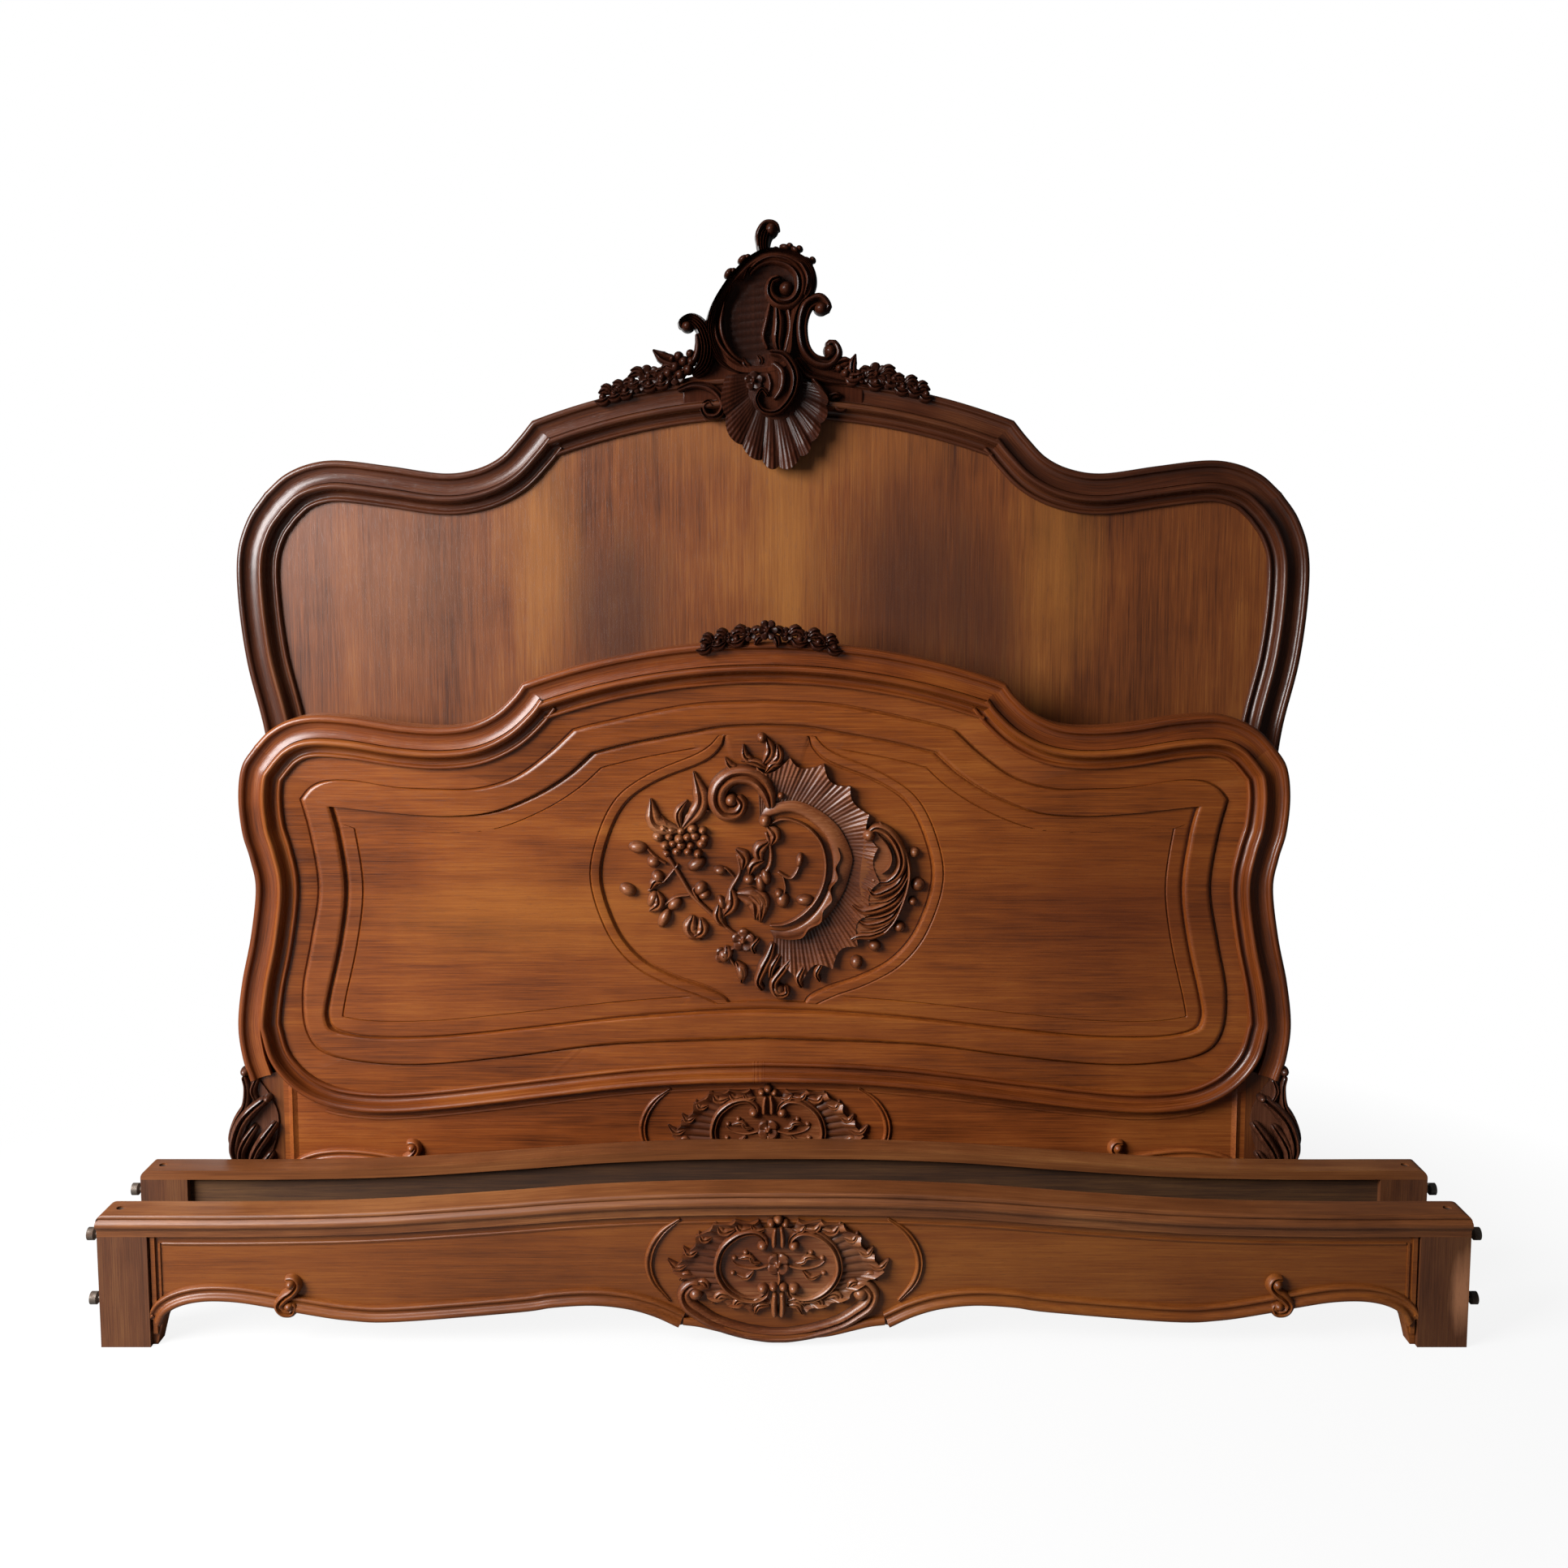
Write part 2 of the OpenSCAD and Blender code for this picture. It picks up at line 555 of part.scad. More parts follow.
// Footboard
module foot_post(side) at_footboard() mirror([side < 0 ? 1 : 0, 0, 0]) difference() {
    moulding(foot_line, frame_section, from = 0, to = foot_joint);
    translate([0, frame_thick, 0]) mirror([0, 1, 0]) keyhole_pocket(foot_bolt_x);
}
foot_post_in = foot_inner[0];
leg_out = foot_line[0][0];
module foot_leg(side) at_footboard() mirror([side < 0 ? 1 : 0, 0, 0]) difference() {
    board([
        foot_line[0], [leg_out + 6, leg_height - 45], [leg_out + 14, leg_height - 90],
        [leg_out + 15, leg_height - 130], [leg_out + 8, 120],
        [leg_out, 70], [leg_out + 4, 26], [leg_out + 12, 0], [leg_out - 40, 0], [leg_out - 36, 60],
        [leg_out - 42, apron_height + 18], [foot_post_in[0], apron_height], foot_post_in
    ], 0, frame_thick);
    translate([0, frame_thick, 0]) mirror([0, 1, 0]) keyhole_pocket(foot_bolt_x);
}
module foot_acanthus(side) at_footboard() mirror([side < 0 ? 1 : 0, 0, 0]) {
    base = [leg_out - 10, leg_height - 132];
    ground(moved(spline([
        [0, 4], [16, 30], [20, 70], [8, 112], [-4, 128], [-20, 108], [-32, 62], [-28, 26], [0, 4]
    ], fine), base[0], base[1]), 4);
    leaf(base + [-6, 4], base + [-6, 128], 14, 18, 0);
    for (k = [0:2]) {
        leaf(base + [-6, 8 + 34 * k], base + [20 - 3 * k, 44 + 32 * k], 9, 14, -0.25);
        leaf(base + [-6, 8 + 34 * k], base + [-34 + 4 * k, 44 + 32 * k], 9, 14, 0.25);
    }
    boss(base + [10, 118], 8, 16);
}
module foot_top_rail() color(walnut) at_footboard()
    moulding(foot_line, frame_section, from = foot_joint, to = 2 * foot_middle - foot_joint);
module foot_bottom_rail() color(walnut) at_footboard() {
    side = slice(foot_inner, 0, foot_turn - 1);
    top = concat(side, reverse(foot_sweep));
    low = raised(lower_edge(foot_post_in[0]));
    board(concat(top, slice(mirrored(top), 1, len(top) - 1), reverse(low)), 0, frame_thick);
}
function raised(p) = moved(p, 0, apron_height);
// The raised field between two outlines, and the oval sunk in its middle
function field_outer() = whole_loop(concat(
    [for (q = [[0, 67], [229, 58], [381, 39], [507, 26]]) [q[0], q[1] + leg_height]],
    from_leg([[218, 26], [137, 41], [106, 77], [102, 142], [117, 219], [131, 303]]),
    from_shoulder([
        [121, -187], [107, -130], [123, -112], [148, -102], [192, -102], [254, -112],
        [315, -115], [377, -114], [434, -97], [484, -62], [525, -24]
    ]),
    [for (q = [[249, -126], [113, -99], [0, -93]]) [q[0], q[1] + foot_arch]]
));
function field_inner() = whole_loop(concat(
    [for (q = [[0, 110], [91, 107], [229, 97], [380, 80], [506, 68]]) [q[0], q[1] + leg_height]],
    from_leg([[207, 67], [150, 77], [136, 97], [139, 129], [160, 219], [171, 303]]),
    from_shoulder([
        [162, -187], [151, -140], [191, -145], [265, -153], [339, -156], [402, -149],
        [464, -121], [514, -93], [553, -58]
    ]),
    [for (q = [[200, -155], [114, -139], [0, -127]]) [q[0], q[1] + foot_arch]]
));
function whole_loop(half) = concat(half, slice(mirrored(half), 1, len(half) - 2));
oval_at = [4, 618];
oval = [for (q = whole_loop(spline([
    [0, 223], [64, 223], [72, 202], [98, 180], [167, 152], [216, 118], [245, 62], [256, -4], [232, -80],
    [194, -128], [144, -156], [98, -172], [56, -211], [0, -211]
], 1))) oval_at + q];
oval_sink = 3;
module foot_panel() color(walnut) at_footboard() difference() {
    union() {
        board(foot_ring_path, 0, panel_thick);
        difference() {
            board(field_outer(), -5, 0.5);
            board(field_inner(), -6, 1);
        }
    }
    board(oval, -1, oval_sink);
}
module foot_panel_moulding() color(walnut) at_footboard()
    moulding(foot_ring_path, ring_section, closed = true, ways = foot_ring_ways);
module at_oval() at_footboard() translate([oval_at[0], oval_sink, oval_at[1]]) children();
module foot_panel_rocaille() color(walnut) at_oval() {
    c = [-6, 0];
    ground(spline([
        [-90, 140], [-40, 150], [10, 205], [70, 182], [130, 140], [190, 80], [214, 10],
        [190, -70], [134, -132], [70, -166], [20, -184], [-22, -184], [-56, -156], [0, -150],
        [60, -100], [96, -30], [92, 50], [40, 104], [-20, 84], [-90, 98], [-90, 140]
    ], 1), 4);
    rib(spline([
        [-6, 96], [40, 92], [80, 62], [98, 12], [88, -42], [54, -80], [14, -96]
    ], fine), [4, 13, 4], 20);
    fan(c, 112, [168, 172, 186, 182, 196, 192, 206, 196, 190, 178, 180, 166, 170], 78, -80, 13);
    rib(spiral([-62, 124], 4, 24, 400, 60, 12), [4, 7, 8], 18);
    boss([-62, 124], 6, 17);
    leaf([-4, 118], [2, 218], 14, 18, 0.06);
    leaf([10, 126], [44, 196], 10, 15, -0.1);
    rib(spline([[-50, -148], [-18, -172], [18, -168], [44, -150], [34, -134]], fine), [4, 8, 4], 17);
}
module foot_panel_spray() color(walnut) at_oval() {
    ground(spline([
        [-72, 92], [-96, 70], [-156, 92], [-182, 60], [-160, 20], [-222, -20], [-188, -40], [-146, -40],
        [-150, -100], [-118, -140], [-96, -100], [-90, -30], [-20, 20], [50, -40], [62, -20], [10, 42],
        [-40, 66], [-72, 92]
    ], 1), 3);
    flower([-132, 54], 26, 16);
    for (k = [0:5]) {
        way = [cos(84 + 36 * k), sin(84 + 36 * k)];
        leaf([-132, 54] + 16 * way, [-132, 54] + (54 - 3 * (k % 2)) * way, 9, 12, 0.15);
    }
    rib(spline([[-120, 40], [-150, -10], [-216, -22]], 3), [3, 4, 1], 8);
    rib(spline([[-126, 40], [-128, -50], [-116, -138]], 3), [3, 4, 1], 8);
    rib(spline([[-72, 84], [-40, 40], [10, 12], [56, -34]], 3), [2, 4, 2], 9);
    for (k = [0:3]) {
        leaf([-136 - 18 * k, 0 - 6 * k], [-150 - 20 * k, 20 - 4 * k], 6, 9, 0.1);
        leaf([-124, -20 - 28 * k], [-146 + 4 * k, -34 - 28 * k], 6, 9, 0.1);
        leaf([-48 + 26 * k, 48 - 18 * k], [-30 + 26 * k, 66 - 18 * k], 6, 9, 0.1);
        leaf([-40 + 26 * k, 38 - 18 * k], [-58 + 26 * k, 20 - 18 * k], 6, 9, -0.1);
    }
    boss([-206, -26], 8, 10);
    boss([-118, -126], 7, 10);
    boss([56, -30], 8, 11);
}
module foot_garland() color(walnut_dark) at_footboard() {
    moulding(foot_line, strip_section, from = foot_middle - 2, to = foot_middle + 2);
    spray(
        [[24, 8, 9], [50, 6, 11], [76, 3, 8], [96, 0, 0]],
        foot_arch, foot_arch_half, foot_rise
    );
    spray(
        [[-4, 10, 13], [-30, 7, 10], [-56, 4, 8], [-72, 0, 0]],
        foot_arch, foot_arch_half, foot_rise
    );
    translate([0, -14, foot_arch]) leaf([19, 1], [19, -28], 8, 9, 0);
}
module foot_apron_moulding() color(walnut) at_footboard() translate([0, 0, apron_height])
    edge_moulding(foot_post_in[0]);
apron_room = 200;
module foot_apron_cartouche() color(walnut) at_footboard() translate([0, 0, apron_height])
    scale([1, 1, (leg_height - apron_height) / apron_room]) cartouche();
module foot_keyhole_plates() color(old_iron) at_footboard() translate([0, frame_thick, 0]) mirror([0, 1, 0])
    both_sides() keyhole_plate(foot_bolt_x);
module foot_plate_screws() color(old_iron) at_footboard() translate([0, frame_thick, 0]) mirror([0, 1, 0])
    plate_screws(foot_bolt_x);

// Side rails, in a rail's own place: x = 0 at its middle, z = 0 at its foot
rail_half = rail_length / 2;
rail_span = rail_half - block_wide;
end_round = 12;
trim = 6;
hair = 0.05;
cap_line = whole(spline([
    [rail_half, rail_height], [rail_half - block_wide, rail_height],
    [rail_half - 209, rail_height], [rail_half - 380, rail_height + 0.12 * rail_camber],
    [rail_half - 550, rail_height + 0.46 * rail_camber], [270, rail_height + 0.8 * rail_camber],
    [130, rail_height + 0.97 * rail_camber], [0, rail_height + rail_camber]
], fine));
cap_under = offset_path(cap_line, cap_thick);
shaft_clear = 0.05;
fitting_y = (block_depth - 2 * block_face) / 2;
key_x = rail_half - key_inset;
bar_wide = 20;
bar_thick = 5;
tongue_high = 6;
fork_clear = 0.6;
cam_pin = key_radius - cam_throw / 2 - 0.4;
bolt_mid = stud_low + stud_pitch / 2;
end_plate_thick = 3;
bar_out = end_plate_thick + 3;
tongue_end = key_inset - cam_throw / 2 + cam_pin + fork_clear + 5;
module rail_board() {
    top = [for (q = slice(cap_under, fine, len(cap_under) - 1 - fine))
        [max(-rail_span, min(rail_span, q[0])), q[1]]];
    board(concat(lower_edge(rail_span), reverse(top)), 0, rail_thick);
}
module end_plate_pocket() translate([rail_half - end_plate_thick, fitting_y - plate_wide / 2, stud_low - 24])
    cube([end_plate_thick + 1, plate_wide, stud_pitch + 44]);
module rail_cap() difference() {
    moulding(concat([cap_line[0] + [trim, 0]], slice(cap_line, 1, len(cap_line) - 2),
        [cap_line[len(cap_line) - 1] - [trim, 0]]), cap_section);
    both_sides() {
        translate([key_x, fitting_y, 0]) cylinder(r = key_radius, h = rail_height + 50);
        end_plate_pocket();
        translate([rail_half - end_round, block_depth, rail_height - end_round]) rotate([90, 0, 0])
            linear_extrude(2 * block_depth) polygon(concat(
                [[end_round, -cap_height], [2 * end_round, -cap_height]],
                [[2 * end_round, end_round + 2], [-3, end_round + 2]],
                [for (a = [90:-15:0]) end_round * [cos(a), sin(a)] + [0, a > 45 ? hair : 0]]
            ));
    }
}
module rail_block(side) mirror([side < 0 ? 1 : 0, 0, 0]) difference() {
    union() {
        translate([rail_span, 0, 0]) cube([block_wide, cap_back, rail_height - cap_thick]);
        translate([rail_span, -block_face, 0])
            cube([block_wide, block_face + 1, rail_height - cap_height]);
    }
    end_plate_pocket();
    translate([0, fitting_y - bar_wide / 2 - 1, 0]) {
        translate([rail_half - bar_out - bar_thick - cam_throw - 1, 0, stud_low - 13])
            cube([40, bar_wide + 2, stud_pitch + 26]);
        translate([rail_half - tongue_end - cam_throw - 1, 0, bolt_mid - tongue_high / 2 - 1])
            cube([60, bar_wide + 2, tongue_high + 2]);
    }
    translate([key_x, fitting_y, bolt_mid - tongue_high / 2 - 3])
        cylinder(r = key_radius, h = rail_height);
}
module rail_end_plates() both_sides() difference() {
    translate([rail_half - end_plate_thick, fitting_y - plate_wide / 2, stud_low - 24])
        cube([end_plate_thick, plate_wide, stud_pitch + 44]);
    for (k = [0, 1]) translate([rail_half - 10, fitting_y, stud_low + k * stud_pitch])
        rotate([0, 90, 0]) cylinder(r = stud_neck + shaft_clear, h = 20);
}
module rail_studs(side) mirror([side < 0 ? 1 : 0, 0, 0]) {
    out = rail_half + stud_reach;
    head = 9;
    for (k = [0, 1]) translate([0, fitting_y, stud_low + k * stud_pitch]) rotate([0, 90, 0])
        rotate_extrude() polygon([
            [0, rail_half - bar_out], [stud_neck, rail_half - bar_out],
            [stud_neck, out - head - 3], [stud_head, out - head], [stud_head, out], [0, out]
        ]);
    translate([rail_half - bar_out - bar_thick, fitting_y - bar_wide / 2, stud_low - 12])
        cube([bar_thick, bar_wide, stud_pitch + 24]);
    difference() {
        translate([rail_half - tongue_end, fitting_y - bar_wide / 2, bolt_mid - tongue_high / 2])
            cube([tongue_end - bar_out - bar_thick / 2, bar_wide, tongue_high]);
        translate([
            key_x + cam_throw / 2 - cam_pin - fork_clear,
            fitting_y - cam_pin - cam_throw / 2 - fork_clear,
            bolt_mid - tongue_high
        ]) cube([2 * (cam_pin + fork_clear), 2 * cam_pin + cam_throw + 2 * fork_clear, 2 * tongue_high]);
    }
}
module rail_cam(side) mirror([side < 0 ? 1 : 0, 0, 0]) translate([key_x, fitting_y, 0]) {
    low = bolt_mid + tongue_high / 2 + 1;
    top = rail_height - 3;
    difference() {
        translate([0, 0, low]) cylinder(r = key_radius - shaft_clear, h = top - low);
        translate([-3.5, -3.5, top - 10]) cube([7, 7, 11]);
    }
    translate([cam_throw / 2, 0, bolt_mid - tongue_high / 2 - 2])
        cylinder(r = cam_pin - shaft_clear, h = tongue_high + 4);
}
ledger_half = rail_span - 10;
ledger_low = 78;
module rail_ledger() translate([-ledger_half, rail_thick, ledger_low])
    cube([2 * ledger_half, ledger_deep, ledger_high]);
module rail_ledger_screws() for (k = [-4:4])
    translate([k * (ledger_half - 60) / 4, rail_thick + ledger_deep + 1, ledger_low + ledger_high / 2])
        rotate([90, 0, 0]) cylinder(r = 4, h = 1);

// The rails and the paired pieces, each in its place
module head_post_left() color(walnut) head_post(-1);
module head_post_right() color(walnut) head_post(1);
module foot_post_left() color(walnut) foot_post(-1);
module foot_post_right() color(walnut) foot_post(1);
module foot_leg_left() color(walnut) foot_leg(-1);
module foot_leg_right() color(walnut) foot_leg(1);
module foot_acanthus_left() color(walnut) foot_acanthus(-1);
module foot_acanthus_right() color(walnut) foot_acanthus(1);
module front_rail_board() color(walnut) at_front_rail() rail_board();
module front_rail_cap() color(walnut) at_front_rail() rail_cap();
module front_rail_block_left() color(walnut) at_front_rail() rail_block(-1);
module front_rail_block_right() color(walnut) at_front_rail() rail_block(1);
module front_rail_moulding() color(walnut) at_front_rail() edge_moulding(rail_span);
module front_rail_cartouche() color(walnut) at_front_rail() cartouche();
module front_rail_ledger() color(rough_oak) at_front_rail() rail_ledger();
module front_rail_ledger_screws() color(old_iron) at_front_rail() rail_ledger_screws();
module front_rail_end_plates() color(old_iron) at_front_rail() rail_end_plates();
module front_rail_studs_left() color(old_iron) at_front_rail() rail_studs(-1);
module front_rail_studs_right() color(old_iron) at_front_rail() rail_studs(1);
module front_rail_cam_left() color(old_iron) at_front_rail() rail_cam(-1);
module front_rail_cam_right() color(old_iron) at_front_rail() rail_cam(1);
module back_rail_board() color(walnut) at_back_rail() rail_board();
module back_rail_cap() color(walnut) at_back_rail() rail_cap();
module back_rail_block_left() color(walnut) at_back_rail() rail_block(1);
module back_rail_block_right() color(walnut) at_back_rail() rail_block(-1);
module back_rail_moulding() color(walnut) at_back_rail() edge_moulding(rail_span);
module back_rail_cartouche() color(walnut) at_back_rail() cartouche();
module back_rail_ledger() color(rough_oak) at_back_rail() rail_ledger();
module back_rail_ledger_screws() color(old_iron) at_back_rail() rail_ledger_screws();
module back_rail_end_plates() color(old_iron) at_back_rail() rail_end_plates();
module back_rail_studs_left() color(old_iron) at_back_rail() rail_studs(1);
module back_rail_studs_right() color(old_iron) at_back_rail() rail_studs(-1);
module back_rail_cam_left() color(old_iron) at_back_rail() rail_cam(1);
module back_rail_cam_right() color(old_iron) at_back_rail() rail_cam(-1);

head_post_left();
head_post_right();
head_top_rail();
head_bottom_rail();
head_panel();
head_panel_moulding();
head_crest_block();
head_crest_cartouche();
head_crest_shell();
head_crest_scroll_left();
head_crest_scroll_right();
head_crest_finial();
head_crest_sprays();
head_keyhole_plates();
head_plate_screws();
foot_post_left();
foot_post_right();
foot_leg_left();
foot_leg_right();
foot_acanthus_left();
foot_acanthus_right();
foot_top_rail();
foot_bottom_rail();
foot_panel();
foot_panel_moulding();
foot_panel_rocaille();
foot_panel_spray();
foot_garland();
foot_apron_moulding();
foot_apron_cartouche();
foot_keyhole_plates();
foot_plate_screws();
front_rail_board();
front_rail_cap();
front_rail_block_left();
front_rail_block_right();
front_rail_moulding();
front_rail_cartouche();
front_rail_ledger();
front_rail_ledger_screws();
front_rail_end_plates();
front_rail_studs_left();
front_rail_studs_right();
front_rail_cam_left();
front_rail_cam_right();
back_rail_board();
back_rail_cap();
back_rail_block_left();
back_rail_block_right();
back_rail_moulding();
back_rail_cartouche();
back_rail_ledger();
back_rail_ledger_screws();
back_rail_end_plates();
back_rail_studs_left();
back_rail_studs_right();
back_rail_cam_left();
back_rail_cam_right();
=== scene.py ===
import math

import bpy
import numpy as np
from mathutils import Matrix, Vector


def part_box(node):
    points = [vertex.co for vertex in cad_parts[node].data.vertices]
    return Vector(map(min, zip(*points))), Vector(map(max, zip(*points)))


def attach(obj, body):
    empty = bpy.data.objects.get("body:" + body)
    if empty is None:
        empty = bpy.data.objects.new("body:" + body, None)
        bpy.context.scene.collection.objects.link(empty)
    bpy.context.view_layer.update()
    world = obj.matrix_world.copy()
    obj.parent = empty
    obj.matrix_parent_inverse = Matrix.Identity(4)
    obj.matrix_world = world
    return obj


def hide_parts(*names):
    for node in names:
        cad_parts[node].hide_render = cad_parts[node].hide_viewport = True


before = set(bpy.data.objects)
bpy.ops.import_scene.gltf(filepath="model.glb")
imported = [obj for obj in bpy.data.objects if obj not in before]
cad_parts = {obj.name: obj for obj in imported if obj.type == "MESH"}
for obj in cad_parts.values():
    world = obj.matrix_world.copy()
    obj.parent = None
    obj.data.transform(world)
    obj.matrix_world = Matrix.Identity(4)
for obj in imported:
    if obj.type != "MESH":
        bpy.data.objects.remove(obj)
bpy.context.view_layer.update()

MM = 0.001
SIDES = ((1, "right"), (-1, "left"))

# Places of the four boards: the middle of each, and the plane of its flat face
head_low, head_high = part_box("head_panel")
foot_low, foot_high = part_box("foot_bottom_rail")
front_low, front_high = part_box("front_rail_board")
back_low, back_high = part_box("back_rail_board")
BOARDS = {
    "head": ((head_low.x + head_high.x) / 2, head_low.y, 1),
    "foot": ((foot_low.x + foot_high.x) / 2, foot_low.y, 1),
    "front_rail": ((front_low.x + front_high.x) / 2, front_low.y, 1),
    "back_rail": ((back_low.x + back_high.x) / 2, back_high.y, -1),
}


# Plane lines. Points are (x, z) in millimetres, seen from the front of their board
def smooth(points, steps=8, closed=False):
    """A curve through the points: between b and c it is the cubic that leaves b along c - a
    and reaches c along d - b, worked out for all spans at once."""
    p = np.asarray(points, float)
    if closed:
        q = np.vstack([p[-1:], p, p[:2]])
    else:
        q = np.vstack([2 * p[:1] - p[1:2], p, 2 * p[-1:] - p[-2:-1]])
    a, b, c, d = (q[i:len(q) - 3 + i, None] for i in range(4))
    t = (np.arange(steps) / steps)[None, :, None]
    line = 0.5 * (
        2 * b + (c - a) * t + (2 * a - 5 * b + 4 * c - d) * t ** 2 + (3 * b - a - 3 * c + d) * t ** 3
    )
    line = line.reshape(-1, p.shape[1])
    return line if closed else np.vstack([line, p[-1:]])


def joined(*runs):
    """Lines end to end, with the corners between them kept once."""
    runs = [np.asarray(r, float) for r in runs]
    return np.vstack([runs[0]] + [r[1:] for r in runs[1:]])


def cusped(*runs):
    """Smooth runs end to end; each run after the first starts where the one before it ends."""
    made = [smooth(runs[0])]
    for run in runs[1:]:
        made.append(smooth([made[-1][-1], *run]))
    return joined(*made)


def profile(start, *swells, end):
    """A moulding's section: plain points, smooth swells, and plain points again."""
    return np.vstack([start, *[smooth(swell, 3) for swell in swells], end])


def mirrored(line):
    """The line's reflection in x = 0, run the other way."""
    return np.asarray(line, float)[::-1] * (-1, 1)


def whole(half):
    """A half line that ends on x = 0, with its reflection."""
    return joined(half, mirrored(half))


def loop(half):
    """A closed outline from its right half."""
    return np.vstack([half, mirrored(half)[1:-1]])


def length_along(line):
    """Distance from the start of the line to each of its points."""
    return np.concatenate([[0], np.cumsum(np.hypot(*np.diff(line, axis=0).T))])


def evenly(line, count):
    """The line cut again into equal steps."""
    s = length_along(line)
    at = np.linspace(0, s[-1], count)
    return np.stack([np.interp(at, s, line[:, k]) for k in range(line.shape[1])], -1)


def mitres(line, closed=False):
    """Direction of an inward step at each point, lengthened at corners so that the width is kept."""
    step = np.diff(np.vstack([line, line[:1]]), axis=0)
    step /= np.maximum(np.hypot(*step.T), 1e-9)[:, None]
    after = step.copy()
    before = np.roll(step, 1, axis=0)
    if not closed:
        after[-1] = step[-2]
        before[0] = step[0]
    left = np.stack([-(before + after)[:, 1], (before + after)[:, 0]], -1)
    left /= np.maximum(np.hypot(*left.T), 1e-9)[:, None]
    lean = left[:, 0] * -before[:, 1] + left[:, 1] * before[:, 0]
    return left / np.maximum(lean, 0.4)[:, None]


def arch(crown, half, rise, steps=30):
    """The right half of a round arch, from its foot at x = half to its crown at x = 0."""
    x = np.linspace(half, 0, steps)
    r = (half ** 2 + rise ** 2) / (2 * rise)
    return np.stack([x, crown - r + np.sqrt(r ** 2 - x ** 2)], -1)


def oval(at, rx, rz, turn=0, count=26):
    """Points of an ellipse, turned by an angle in degrees."""
    a = np.arange(count) * 2 * np.pi / count
    c, s = math.cos(math.radians(turn)), math.sin(math.radians(turn))
    x, z = rx * np.cos(a), rz * np.sin(a)
    return np.stack([at[0] + c * x - s * z, at[1] + s * x + c * z], -1)


def bowed(p, q, bend):
    """Three points of a bow from p to q; bend is its rise to the left as a share of its length."""
    (px, pz), (qx, qz) = p, q
    middle = ((px + qx) / 2 - bend * (qz - pz), (pz + qz) / 2 + bend * (qx - px))
    return [p, middle, q]


# Meshes
def raised(flat, y):
    """Rows of points (x, y, z) from plane rows (x, z) and their y."""
    rows = np.empty(flat.shape[:2] + (3,))
    rows[..., 0], rows[..., 2] = flat[..., 0], flat[..., 1]
    rows[..., 1] = y
    return rows


